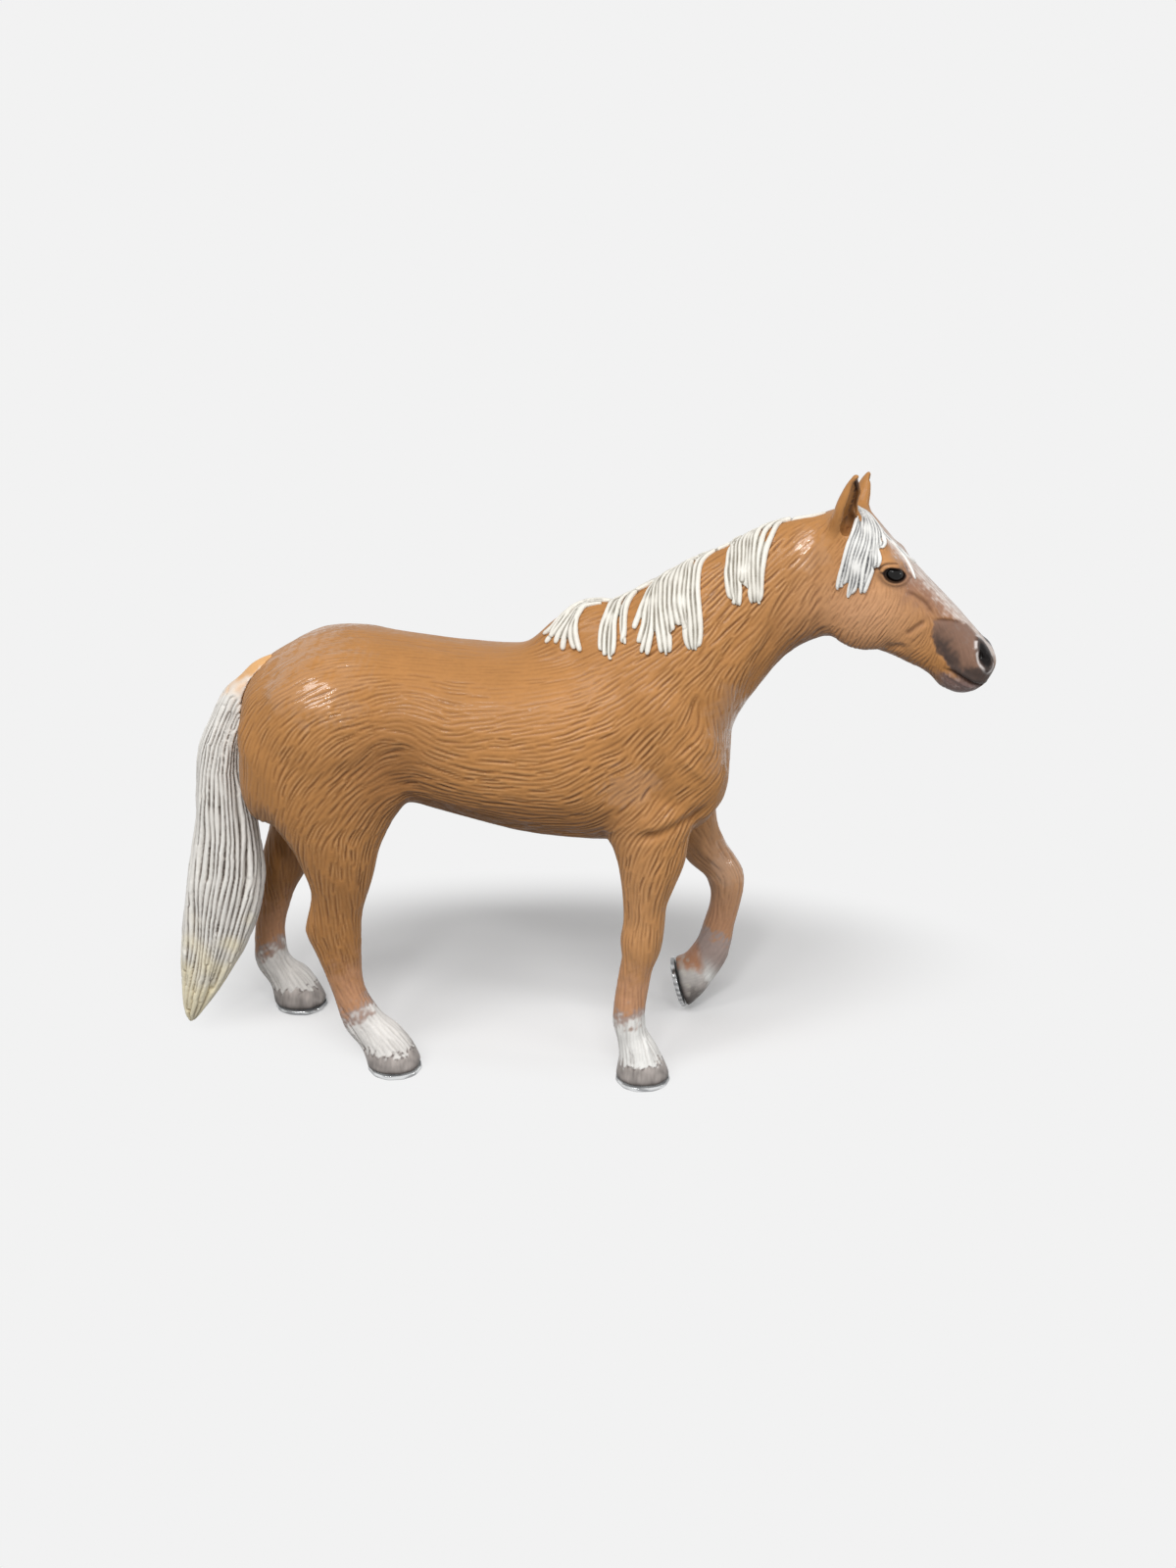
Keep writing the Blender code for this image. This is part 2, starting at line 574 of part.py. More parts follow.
class Leg:
    """The places of one leg, worked out from the trunk, its shares and its hoof."""

    def __init__(self, name):
        stand, side, rows, lean, sole_forward, peg = LEGS_SHARES[name]
        fore = name.startswith("fore")
        self.name = name
        self.side = side
        self.fore = fore
        self.rows = rows
        self.lean = lean
        self.sole_forward = sole_forward
        self.peg_shares = peg
        self.top = BELLY_HEIGHT + TRUNK_DEPTH * LEG_TOP_SHARE
        self.stand = TRUNK_LENGTH * stand
        self.depth = FORE_LEG_DEPTH if fore else HIND_LEG_DEPTH
        self.width = FORE_LEG_WIDTH if fore else HIND_LEG_WIDTH
        self.stance = (FORE_STANCE if fore else HIND_STANCE) / 2
        self.sole = self.sole_frame()

    def centre(self, forward, up, out):
        return Vector((self.stand + self.top * forward, self.side * self.stance * out, self.top * up))

    def sole_frame(self):
        """Sole of the hoof: x to the toe, z up into the hoof, so that its pad's lowest edge is at z = 0."""
        last = self.rows[-1]
        toe = leaning(self.lean, 1)
        upward = leaning(self.lean + 90, 1)
        below = PAD_THICKNESS + JOINT_GAP
        reach = HOOF_LENGTH / 2 + PAD_OVERHANG
        height = below * upward.z - reach * toe.z
        origin = self.centre(self.sole_forward, 0, last[5])
        origin.z = height
        side = upward.cross(toe)
        frame = Matrix((toe, side, upward)).transposed().to_4x4()
        frame.translation = origin
        return frame

    def rings(self):
        rings = []
        hoof = self.sole.to_3x3()
        toe = hoof @ Vector((HOOF_LENGTH / 2, 0, 0))
        across = hoof @ Vector((0, HOOF_WIDTH / 2, 0))
        for forward, up, lean, depth, width, out in blend(self.rows):
            along = leaning(lean, self.depth / 2 * depth)
            centre = self.centre(forward, up, out)
            rings.append(ring(centre, along, Vector((0, self.width / 2 * width, 0)), LIMB_FULLNESS))
        for below in (0, 1):
            centre = self.sole.translation - hoof @ Vector((0, 0, HOOF_SPARE * below))
            rings.append(ring(centre, toe, across, LIMB_FULLNESS))
        return rings

    def pad(self):
        hoof = self.sole
        rings = []
        toe = hoof.to_3x3() @ Vector((HOOF_LENGTH / 2 + PAD_OVERHANG, 0, 0))
        across = hoof.to_3x3() @ Vector((0, HOOF_WIDTH / 2 + PAD_OVERHANG, 0))
        for below in (JOINT_GAP, JOINT_GAP + PAD_THICKNESS):
            rings.append(ring(hoof @ Vector((0, 0, -below)), toe, across, LIMB_FULLNESS, 0.0, PAD_SIDES))
        return loft(self.name.replace("leg", "pad"), rings)

    def region(self, spare):
        """The space that holds the whole leg below its seam, wider by spare on the sides that meet."""
        place = self.seam_frame()
        if self.fore:
            inner = self.stance * FORE_INNER_SHARE - spare
            back = -spare
            front = TRUNK_LENGTH
        else:
            inner = JOINT_GAP / 2 - 2 * spare
            back = -TRUNK_LENGTH
            front = spare
        edges = sorted((self.side * inner, self.side * TRUNK_WIDTH))
        return block("region", (back, edges[0], -2 * self.top), (front, edges[1], spare), place)

    def seam_frame(self):
        """Frame whose floor slopes with the leg's seam, with upright walls."""
        seam = on_trunk(*(FORE_SEAM_SHARES if self.fore else HIND_SEAM_SHARES))
        frame = Matrix.Translation(seam)
        frame[2][0] = FORE_SEAM_SLOPE if self.fore else HIND_SEAM_SLOPE
        return frame

    def peg(self, spare):
        """The peg that stands up from the seam into the trunk."""
        place = self.centre(self.peg_shares[0], 0, self.peg_shares[1])
        frame = self.seam_frame()
        place.z = frame.translation.z + (place.x - frame.translation.x) * frame[2][0]
        foot = place - Vector((0, 0, LEG_PEG_LENGTH * PEG_ROOT_SHARE))
        tip = place + Vector((0, 0, LEG_PEG_LENGTH + spare))
        return rod("peg", foot, tip, LEG_PEG_RADIUS + spare)

    def ground(self):
        """Everything below the sole."""
        reach = HOOF_LENGTH + OVERRUN
        return block("ground", (-reach, -reach, -reach), (reach, reach, 0), self.sole)


# Tail

def on_tail(forward_share, up_share):
    back_end = on_trunk(TRUNK_SHARES[0][0], DOCK_UP_SHARE)
    return back_end + Vector((TAIL_SWEEP * (DOCK_SET_SHARE + forward_share), 0, TAIL_LENGTH * up_share))


def tail_form():
    """The hanging hair: a tapering form with a few broad locks running down it."""
    rings = []
    for forward, up, lean, depth, width in blend(TAIL_SHARES, 2):
        along = leaning(lean, TAIL_DEPTH / 2 * depth)
        across = Vector((0, TAIL_WIDTH / 2 * width, 0))
        centre = on_tail(forward, up)
        outline = ring(centre, along, across, LIMB_FULLNESS, 0.0, TAIL_SIDES)
        for side in range(TAIL_SIDES):
            wave = math.cos(TAIL_LOCKS * math.tau * side / TAIL_SIDES + TAIL_TWIST * up)
            outline[side] = centre + (outline[side] - centre) * (1 + TAIL_RELIEF_SHARE * wave)
        rings.append(outline)
    return loft("tail", rings)


def tail_peg(spare):
    seat = on_tail(*TAIL_PEG_SHARES)
    run = leaning(TAIL_PEG_LEAN, 1)
    return rod("peg", seat - run * TAIL_PEG_LENGTH * PEG_ROOT_SHARE, seat + run * (TAIL_PEG_LENGTH + spare),
               TAIL_PEG_RADIUS + spare)


# Mane and forelock

def skin_point(tree, place, middle, angle, spread):
    """Where the body's skin lies, so many radians down the right side from above a point on its axis."""
    outward = place.to_3x3() @ Vector((0, -math.sin(angle), math.cos(angle)))
    start = place @ middle + outward * spread
    hit, normal, _, _ = tree.ray_cast(start, -outward, spread)
    return hit, normal


def hair_lock(tree, place, axis, root, tip, angle, width, thickness, spread, steps=9):
    """One lock that lies on the skin from above the axis down the right side."""
    path = []
    for step in range(steps + 1):
        t = step / steps
        along = root + (tip - root) * t ** 1.3
        middle = axis[0] + (axis[1] - axis[0]) * along
        hit, normal = skin_point(tree, place, middle, math.radians(angle) * t ** 0.85, spread)
        if hit is not None:
            path.append((t, hit, normal))
    rings = []
    for index, (t, hit, normal) in enumerate(path):
        before = path[max(index - 1, 0)][1]
        after = path[min(index + 1, len(path) - 1)][1]
        across = (after - before).cross(normal).normalized()
        taper = 0.75 + 0.5 * t if t < 0.5 else 1.0 - 1.3 * (t - 0.5) ** 2 * 2
        lift = thickness * (0.5 - 0.15 * t)
        rings.append(ring(hit + normal * lift, normal * thickness / 2 * (1 - 0.35 * t),
                          across * width / 2 * taper, LOCK_FULLNESS, 0.0, LOCK_SIDES))
    return loft("lock", rings)


def tree_of(pieces):
    """A search tree over the skins of some pieces."""
    points = []
    faces = []
    for piece in pieces:
        first = len(points)
        points.extend(vertex.co.copy() for vertex in piece.data.vertices)
        faces.extend([first + corner for corner in face.vertices] for face in piece.data.polygons)
    return BVHTree.FromPolygons(points, faces)


def mane_form(tree):
    axis = (on_neck(0, 0), on_neck(1, 1))
    place = Matrix.Identity(4)
    locks = [hair_lock(tree, place, axis, MANE_END_SHARES[0], MANE_END_SHARES[1], 0.0, CREST_WIDTH,
                       LOCK_THICKNESS, NECK_DEPTH, 20)]
    for root, tip, angle, width in MANE_SHARES:
        locks.append(hair_lock(tree, place, axis, root, tip, angle, LOCK_WIDTH * width, LOCK_THICKNESS,
                               NECK_DEPTH))
    return locks


def forelock_form(tree):
    axis = (on_head(0, 0), on_head(*HEAD_AXIS_SHARES))
    locks = []
    for root, tip, angle, width in FORELOCK_SHARES:
        locks.append(hair_lock(tree, HEAD_PLACE, axis, root, tip, angle, FORELOCK_WIDTH * width,
                               FORELOCK_THICKNESS, HEAD_DEPTH))
    return locks


# Core and locating pins

def core_form(spare):
    """The plain core that the trunk halves close round."""
    centre = on_trunk(*CORE_SHARES)
    rings = []
    for share in (-1.0, -0.9, -0.5, 0.0, 0.5, 0.9, 1.0):
        size = (1 - abs(share) ** 4) * 0.6 + 0.4
        middle = centre + Vector(((CORE_LENGTH / 2 + spare) * share, 0, 0))
        rings.append(ring(middle, Vector((0, 0, CORE_DEPTH / 2 * size + spare)),
                          Vector((0, CORE_WIDTH / 2 * size + spare, 0)), CORE_FULLNESS))
    return loft("body_core", rings)


def pin(share, spare):
    """A locating pin that stands from the right half into the left one."""
    middle = on_trunk(*share)
    return rod("pin", middle - Vector((0, PIN_LENGTH, 0)), middle + Vector((0, PIN_LENGTH + spare, 0)),
               PIN_RADIUS + spare)


def head_region(spare):
    """The space in front of the head's seam, starting so much further back."""
    seam = on_neck(*HEAD_SEAM_SHARES)
    place = Matrix.Translation(seam) @ Matrix.Rotation(HEAD_SEAM_LEAN, 4, 'Y')
    reach = HEAD_LENGTH * 2
    return block("region", (-spare, -reach, -reach), (reach, reach, reach), place)


def head_peg(spare):
    """The peg that runs back from the head's seam into the neck."""
    seam = on_neck(*HEAD_SEAM_SHARES)
    run = leaning(HEAD_PEG_LEAN, 1)
    return rod("peg", seam - run * HEAD_PEG_LENGTH * PEG_ROOT_SHARE, seam + run * (HEAD_PEG_LENGTH + spare),
               HEAD_PEG_RADIUS + spare)


# Eyes, nostrils, mouth and ears

def side_point(tree, share, side):
    """Where the head's skin lies beside a point of its middle plane, and the way in."""
    outward = HEAD_PLACE.to_3x3() @ Vector((0, side, 0))
    start = HEAD_PLACE @ on_head(*share) + outward * HEAD_DEPTH
    hit, _, _, _ = tree.ray_cast(start, -outward, HEAD_DEPTH)
    return hit, -outward


def eye_ball(tree, side, name, spare):
    skin, inward = side_point(tree, EYE_SHARES, side)
    return ball(name, skin + inward * EYE_RADIUS * EYE_SEAT_SHARE, [EYE_RADIUS + spare] * 3)


def nostril(tree, side):
    skin, _ = side_point(tree, NOSTRIL_SHARES, side)
    return ball("nostril", skin, (NOSTRIL_RADIUS, NOSTRIL_DEPTH, NOSTRIL_RADIUS * 1.7),
                HEAD_PLACE.to_3x3())


def mouth():
    """The slit between the lips."""
    place = HEAD_PLACE @ Matrix.Translation(on_head(*LIPS_SHARES)) @ Matrix.Rotation(MOUTH_LEAN, 4, 'Y')
    return block("mouth", (-MOUTH_REACH, -HEAD_WIDTH, -MOUTH_HEIGHT / 2),
                 (MOUTH_REACH, HEAD_WIDTH, MOUTH_HEIGHT / 2), place)


def ear_hollow(side):
    hollow = ear_form(side, EAR_HOLLOW_SHARE, 1)
    forward = ear_frame(side).to_3x3() @ Vector((EAR_THICKNESS * (1 - EAR_HOLLOW_SHARE), 0, 0))
    hollow.data.transform(HEAD_PLACE @ Matrix.Translation(forward))
    return hollow


# The figure

def build():
    legs = [Leg(name) for name in LEGS_SHARES]
    forms = trunk_forms() + [neck_form()] + head_forms() + [loft(leg.name, leg.rings()) for leg in legs]
    whole = fuse("whole", forms, GRAIN, SMOOTHING_COUNT)
    body = thin_out(copy(whole, "body"), BODY_TRIANGLES)
    head = combine(copy(whole, "head"), head_region(JOINT_GAP), 'INTERSECT')
    head = thin_out(largest_body(head), HEAD_TRIANGLES)
    drop(whole)
    pieces = {}

    skins = [body, head]
    tree = tree_of(skins)
    body_grown = grown(body, JOINT_GAP)
    head_grown = grown(head, JOINT_GAP)
    head_tree = tree_of([head])

    tail = combine(tail_form(), copy(body_grown, "tool"), 'DIFFERENCE')
    tail = combine(largest_body(tail), tail_peg(0), 'UNION')
    pieces["tail"] = tail

    mane = thin_out(fuse("mane", mane_form(tree), HAIR_GRAIN, HAIR_SMOOTHING_COUNT), MANE_TRIANGLES)
    forelock = thin_out(fuse("forelock", forelock_form(head_tree), HAIR_GRAIN, HAIR_SMOOTHING_COUNT),
                        FORELOCK_TRIANGLES)
    combine(mane, copy(body_grown, "tool"), 'DIFFERENCE')
    combine(mane, copy(head_grown, "tool"), 'DIFFERENCE')
    combine(forelock, copy(head_grown, "tool"), 'DIFFERENCE')
    pieces["mane"] = largest_body(mane)
    pieces["forelock"] = largest_body(forelock)
    drop(body_grown)
    drop(head_grown)

    trunk = copy(body, "trunk")
    combine(trunk, head_region(JOINT_GAP), 'DIFFERENCE')
    for leg in legs:
        piece = combine(copy(body, leg.name), leg.region(0), 'INTERSECT')
        combine(piece, leg.ground(), 'DIFFERENCE')
        pieces[leg.name] = combine(largest_body(piece), leg.peg(0), 'UNION')
        combine(trunk, leg.region(JOINT_GAP), 'DIFFERENCE')
        combine(trunk, leg.peg(JOINT_GAP), 'DIFFERENCE')
        pieces[leg.name.replace("leg", "pad")] = leg.pad()
    drop(body)

    combine(head, head_region(0), 'INTERSECT')
    for side, name in ((-1, "eye_right"), (1, "eye_left")):
        pieces[name] = eye_ball(head_tree, side, name, 0)
        combine(head, eye_ball(head_tree, side, "socket", JOINT_GAP), 'DIFFERENCE')
        combine(head, nostril(head_tree, side), 'DIFFERENCE')
        combine(head, ear_hollow(side), 'DIFFERENCE')
    combine(head, mouth(), 'DIFFERENCE')
    pieces["head"] = combine(largest_body(head), head_peg(0), 'UNION')

    trunk = largest_body(trunk)
    combine(trunk, head_peg(JOINT_GAP), 'DIFFERENCE')
    combine(trunk, tail_peg(JOINT_GAP), 'DIFFERENCE')
    combine(trunk, core_form(JOINT_GAP), 'DIFFERENCE')
    pieces["body_core"] = core_form(0)
    reach = TRUNK_LENGTH * 2
    left = combine(copy(trunk, "left"), block("side", (-reach, JOINT_GAP / 2, -reach), (reach, reach, reach)),
                   'INTERSECT')
    right = combine(trunk, block("side", (-reach, -reach, -reach), (reach, -JOINT_GAP / 2, reach)),
                    'INTERSECT')
    for share in PIN_SHARES:
        combine(right, pin(share, 0), 'UNION')
        combine(left, pin(share, JOINT_GAP), 'DIFFERENCE')
    pieces["trunk_right_shell"] = right
    pieces["trunk_left_shell"] = left
    return pieces


def finish(pieces):
    """Name, colour and shade the pieces, and set the origin below the middle of the figure."""
    coat = material("coat", COAT, 0.45)
    looks = {
        "mane": material("mane", HAIR, 0.4), "forelock": material("forelock", HAIR, 0.4),
        "tail": material("tail", TAIL_HAIR, 0.4), "body_core": material("core", CORE, 0.7),
        "eye_right": material("eye", EYE, 0.1), "eye_left": material("eye", EYE, 0.1),
    }
    pad = material("pad", PAD, 0.2)
    low = Vector((math.inf,) * 3)
    high = Vector((-math.inf,) * 3)
    for name, piece in pieces.items():
        piece.name = name
        piece.data.name = name
        piece.data.materials.clear()
        piece.data.materials.append(looks.get(name, pad if "pad" in name else coat))
        piece.data.shade_smooth()
        piece.data.set_sharp_from_angle(angle=math.radians(40))
        for vertex in piece.data.vertices:
            low = Vector(map(min, low, vertex.co))
            high = Vector(map(max, high, vertex.co))
    for piece in pieces.values():
        piece.location = (-(low.x + high.x) / 2, -(low.y + high.y) / 2, -low.z)
    print("origin moved by", piece.location)
    for name, piece in pieces.items():
        piece.data.calc_loop_triangles()
        print(name, len(piece.data.loop_triangles))


for old in list(bpy.data.objects):
    bpy.data.objects.remove(old)
finish(build())
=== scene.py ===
"""Finish of the toy horse figure: carved and painted coat, moulded mane, forelock and tail, eyes, clear hoof
pads, floor and light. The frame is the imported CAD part; every piece is built round its nodes.
Tables are in millimetres. Side view means x forward and z up, the same on both flanks."""

import json
import math

import bmesh
import bpy
import numpy as np
from bpy.props import FloatProperty, FloatVectorProperty, IntProperty, PointerProperty
from mathutils import Matrix, Vector
from mathutils.bvhtree import BVHTree
from mathutils.kdtree import KDTree

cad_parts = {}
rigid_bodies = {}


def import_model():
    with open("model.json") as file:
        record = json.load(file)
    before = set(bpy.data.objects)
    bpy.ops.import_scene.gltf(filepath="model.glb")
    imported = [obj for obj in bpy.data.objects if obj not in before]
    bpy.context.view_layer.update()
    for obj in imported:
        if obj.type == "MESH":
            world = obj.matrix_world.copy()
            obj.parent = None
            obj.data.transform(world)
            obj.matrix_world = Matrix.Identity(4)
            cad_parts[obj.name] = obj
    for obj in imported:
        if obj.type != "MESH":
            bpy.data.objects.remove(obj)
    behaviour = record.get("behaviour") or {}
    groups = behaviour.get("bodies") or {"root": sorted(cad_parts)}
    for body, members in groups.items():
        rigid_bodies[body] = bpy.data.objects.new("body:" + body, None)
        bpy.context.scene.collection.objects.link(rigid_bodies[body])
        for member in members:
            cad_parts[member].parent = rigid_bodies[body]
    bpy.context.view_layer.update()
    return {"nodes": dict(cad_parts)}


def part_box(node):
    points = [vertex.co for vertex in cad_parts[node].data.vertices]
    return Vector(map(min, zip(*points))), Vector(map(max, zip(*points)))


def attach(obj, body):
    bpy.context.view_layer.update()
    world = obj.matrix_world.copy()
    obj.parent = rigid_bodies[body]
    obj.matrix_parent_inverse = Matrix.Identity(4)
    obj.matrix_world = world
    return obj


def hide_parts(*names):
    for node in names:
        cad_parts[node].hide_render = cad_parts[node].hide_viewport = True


bl_info = {
    "name": "Toy horse finish",
    "version": (1, 0, 0),
    "blender": (4, 5, 0),
    "location": "3D view sidebar, tab Toy horse",
    "description": "Builds the painted, moulded looks of the toy horse round its CAD nodes",
    "category": "Object",
}

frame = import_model()

MM = 0.001
BODY = "root"
MIDDLE = -0.0013           # the figure's middle plane

# Seams between the coat's pieces, and how far their caps lie inside
CAP_DEPTH = 0.0018
COAT_BEND = math.radians(42)           # an edge of a coat node that turns more stays sharp
TAIL_BEND = math.radians(50)
FORE_SEAM = (0.0059, 0.0466, 0.10)     # where it starts, its height there and its slope
FORE_INNER = 0.0046                    # from the middle plane to a fore leg's inner wall
HIND_SEAM = (-0.0256, 0.0455)
HEAD_SEAM = (0.0399, 0.0875, math.radians(6.0))

# Head: its poll, how far it turns to the right, and its ears
POLL = Vector((0.04168, MIDDLE, 0.0875))
HEAD_TURN = math.radians(11.0)
EAR_BASE = {-1: (0.0019, -0.0038, 0.0104), 1: (0.0027, 0.0038, 0.0080)}
EAR_LENGTH = 0.0086
EAR_SPLAY = math.radians(11.0)
EAR_LEAN = math.radians(15.0)
EAR_TURN = math.radians(28.0)

# How the hair lies: side (0 both, -1 right, 1 left), x, z, direction in degrees, strength
HAIR_LIE = [
    (0, -38.7, 72.5, 207, 0.8), (0, -43.4, 57.8, 235, 0.9), (0, -49.3, 56.2, 255, 0.30),
    (0, -37.1, 56.2, 226, 1.0), (0, -35.6, 48.0, 232, 0.9), (0, -27.7, 69.2, 182, 0.4),
    (0, -31.2, 70.5, 197, 0.5), (0, -22.3, 66.8, 160, 0.35), (0, -23.0, 61.9, 153, 0.9),
    (0, -27.7, 57.8, 190, 1.0), (0, -31.6, 59.4, 218, 1.0), (0, -18.3, 58.6, 167, 1.0),
    (0, -12.1, 59.4, 180, 1.0), (0, -15.2, 66.0, 188, 0.4), (0, -4.3, 66.0, 192, 0.35),
    (0, -8.9, 56.2, 180, 1.0), (0, -2.7, 48.8, 184, 1.0), (0, -18.3, 52.1, 168, 1.0),
    (0, 3.6, 62.7, 200, 0.9), (0, 6.7, 57.8, 212, 1.0), (0, 9.8, 69.2, 220, 0.5),
    (0, 13.0, 62.7, 227, 1.0), (0, 16.1, 56.2, 230, 1.0), (0, 11.4, 49.7, 226, 1.0),
    (0, 19.2, 62.7, 225, 0.9), (0, 22.3, 57.8, 215, 0.5), (0, 24.7, 66.0, 290, 0.30),
    (0, 19.2, 74.1, 225, 0.9), (0, 25.5, 80.6, 228, 1.0), (0, 31.7, 88.8, 230, 1.0),
    (0, 37.2, 95.3, 232, 0.6), (0, 34.9, 80.6, 236, 0.9), (0, 3.6, 75.8, 205, 0.30),
    (0, -12.1, 79.0, 183, 0.10), (0, -30.8, 80.6, 185, 0.06), (0, -43.4, 75.8, 220, 0.15),
    (-1, 11.4, 43.2, 250, 1.0), (-1, 11.0, 35.0, 262, 0.9), (-1, 11.3, 23.6, 270, 0.6),
    (-1, 12.0, 14.0, 268, 0.8), (-1, 12.5, 6.0, 275, 1.0),
    (-1, -35.6, 43.2, 265, 1.1), (-1, -36.4, 35.0, 272, 1.0), (-1, -35.6, 23.6, 280, 0.7),
    (-1, -33.0, 14.0, 296, 0.8), (-1, -30.0, 7.0, 305, 1.0),
    (1, 27.0, 38.0, 308, 0.6), (1, 23.0, 33.0, 310, 0.6), (1, 28.0, 22.0, 265, 0.5),
    (1, 24.0, 13.0, 230, 0.4), (1, -45.0, 42.0, 262, 0.6), (1, -48.0, 30.0, 272, 0.4),
    (1, -50.0, 20.0, 275, 0.6), (1, -48.0, 8.0, 300, 0.9),
    (0, 46.6, 79.8, 245, 0.8), (0, 43.3, 84.6, 240, 0.7), (0, 49.6, 82.9, 238, 0.8),
    (0, 53.4, 81.5, 232, 0.5), (0, 55.8, 86.0, 300, 0.35), (0, 60.0, 84.0, 308, 0.35),
    (0, 59.0, 77.3, 255, 0.45), (0, 55.0, 76.5, 235, 0.6), (0, 65.5, 73.3, 250, 0.25),
    (0, 47.5, 96.5, 250, 0.2), (0, 41.5, 93.3, 235, 0.5), (0, 44.0, 101.0, 250, 0.05),
    (0, 51.5, 90.5, 280, 0.0), (0, 62.0, 79.0, 300, 0.15),
]

# Folds and ridges of the body: side, width, depth (a ridge is below 0), then points in side view
BODY_FOLDS = [
    (0, 0.9, 0.55, ((11.0, 47.0), (14.5, 47.6), (17.7, 48.9), (20.6, 49.8), (23.0, 52.2))),
    (0, 1.3, -0.35, ((11.0, 49.0), (14.5, 49.6), (17.7, 50.9), (20.2, 52.2), (22.0, 54.4))),
    (0, 2.6, 0.45, ((8.2, 65.5), (7.2, 58.4), (7.2, 51.5))),
    (0, 2.0, 0.35, ((21.6, 70.8), (19.9, 65.4), (18.9, 60.8))),
    (0, 0.7, -0.22, ((20.1, 64.0), (22.9, 60.8))),
    (0, 0.8, -0.26, ((18.4, 61.0), (20.4, 59.0), (22.8, 56.6))),
    (0, 1.3, 0.50, ((36.4, 90.0), (34.1, 84.1), (31.5, 77.4), (29.1, 70.9), (26.6, 67.0))),
    (0, 0.9, 0.28, ((30.4, 83.4), (26.2, 78.1), (22.5, 73.8))),
    (0, 1.6, 0.45, ((40.3, 94.0), (39.6, 86.1), (39.7, 80.6), (41.0, 77.4))),
    (0, 2.4, 0.50, ((-27.0, 63.0), (-26.0, 58.1), (-25.6, 53.2))),
    (0, 1.5, 0.20, ((-37.0, 57.0), (-33.2, 58.6), (-30.6, 60.1))),
    (0, 1.6, -0.25, ((-33.0, 62.6), (-29.0, 63.4), (-26.0, 62.0))),
    (-1, 1.4, 0.25, ((-40.6, 33.0), (-40.9, 26.5), (-39.6, 21.0))),
    (-1, 1.0, -0.22, ((-36.3, 31.0), (-36.4, 26.0), (-35.2, 20.0))),
    (-1, 1.0, 0.22, ((11.0, 39.0), (10.4, 33.0), (10.0, 28.0))),
    (-1, 1.0, 0.18, ((10.0, 21.0), (9.6, 16.0))),
    (1, 0.8, -0.30, ((20.8, 35.4), (23.2, 32.8), (26.4, 29.6))),
    (1, 1.0, 0.30, ((23.0, 36.4), (26.0, 33.0), (28.2, 30.0))),
]

# Painted light and shade as soft spots: a darker flank hollow, belly, neck underside, chest and hind legs, and a
# lighter head (partly its own paler, pinker paint) and fore legs. Columns: side, x, z, half length, half height,
# colour and share
PAINTED_LIGHT_AND_SHADE = [
    (0, -28.0, 57.0, 8.0, 8.0, (112, 72, 42), 0.50), (0, -10.0, 49.5, 20.0, 4.0, (92, 60, 36), 0.50),
    (0, 47.0, 84.0, 10.0, 8.0, (228, 180, 146), 0.45), (-1, 11.0, 30.0, 5.0, 17.0, (222, 168, 120), 0.42),
    (1, 26.0, 29.0, 7.0, 11.0, (226, 182, 150), 0.50), (1, -47.0, 28.0, 9.0, 18.0, (98, 60, 32), 0.45),
    (-1, -37.0, 18.0, 6.0, 12.0, (146, 100, 60), 0.35), (-1, -37.0, 34.0, 7.0, 8.0, (124, 84, 48), 0.35),
    (0, 36.0, 75.0, 5.0, 8.0, (104, 68, 42), 0.45), (0, 27.0, 66.0, 3.5, 9.0, (104, 68, 42), 0.30),
]

# Paints of the markings, and of the painted light and shade, as 0 to 255 levels
PAINTS = {
    "grey pastern": (172, 158, 154), "pastern groove": (150, 142, 136), "lifted hoof, pale toe": (205, 202, 198),
    "lifted hoof, dark tip": (46, 36, 32), "coronet dash": (70, 50, 44), "painted shade above a pad": (40, 33, 30),
    "lifted heel": (190, 128, 86), "lifted hoof, painted highlight": (205, 200, 188), "mauve cheek": (142, 106, 90),
    "blaze base": (178, 148, 132), "blaze": (238, 233, 228), "blaze thread": (226, 214, 206),
    "muzzle": (128, 100, 86), "muzzle border": (60, 52, 50), "upper lip": (66, 57, 54), "nose tip": (150, 128, 118),
    "chin": (126, 104, 100), "chin thread": (186, 168, 162), "mouth": (62, 40, 32), "face line": (92, 60, 42),
    "lid line": (46, 30, 24), "eye socket": (28, 20, 18), "below the eye": (112, 82, 64),
    "nostril edge": (40, 32, 30), "nostril": (18, 14, 13), "painted highlight round a nostril": (226, 218, 214),
    "ear hollow": (54, 34, 26), "painted shade underneath": (104, 68, 40), "tail": (238, 234, 227), "tail ridge highlight": (253, 251, 246),
    "tail tip": (255, 243, 206), "tail line": (104, 93, 85), "tail tip line": (158, 136, 98),
    "dock": (222, 160, 78), "dull pad": (104, 106, 108), "mane line shade": (128, 120, 106), "mane": (234, 230, 220),
    "forelock line shade": (104, 104, 106), "forelock": (238, 237, 233),
}

# Where the varnish pooled: side, x, z, half length and half height
VARNISH_SPOTS = [
    (-1, -40.0, 71.0, 10.0, 6.0), (-1, 38.0, 92.6, 3.2, 3.6), (-1, 25.5, 64.0, 4.0, 8.0),
    (-1, 10.0, 56.0, 5.0, 4.0), (1, 27.5, 31.0, 4.0, 5.0), (1, -38.0, 71.0, 8.0, 5.0), (1, 30.0, 86.0, 6.0, 5.0),
]

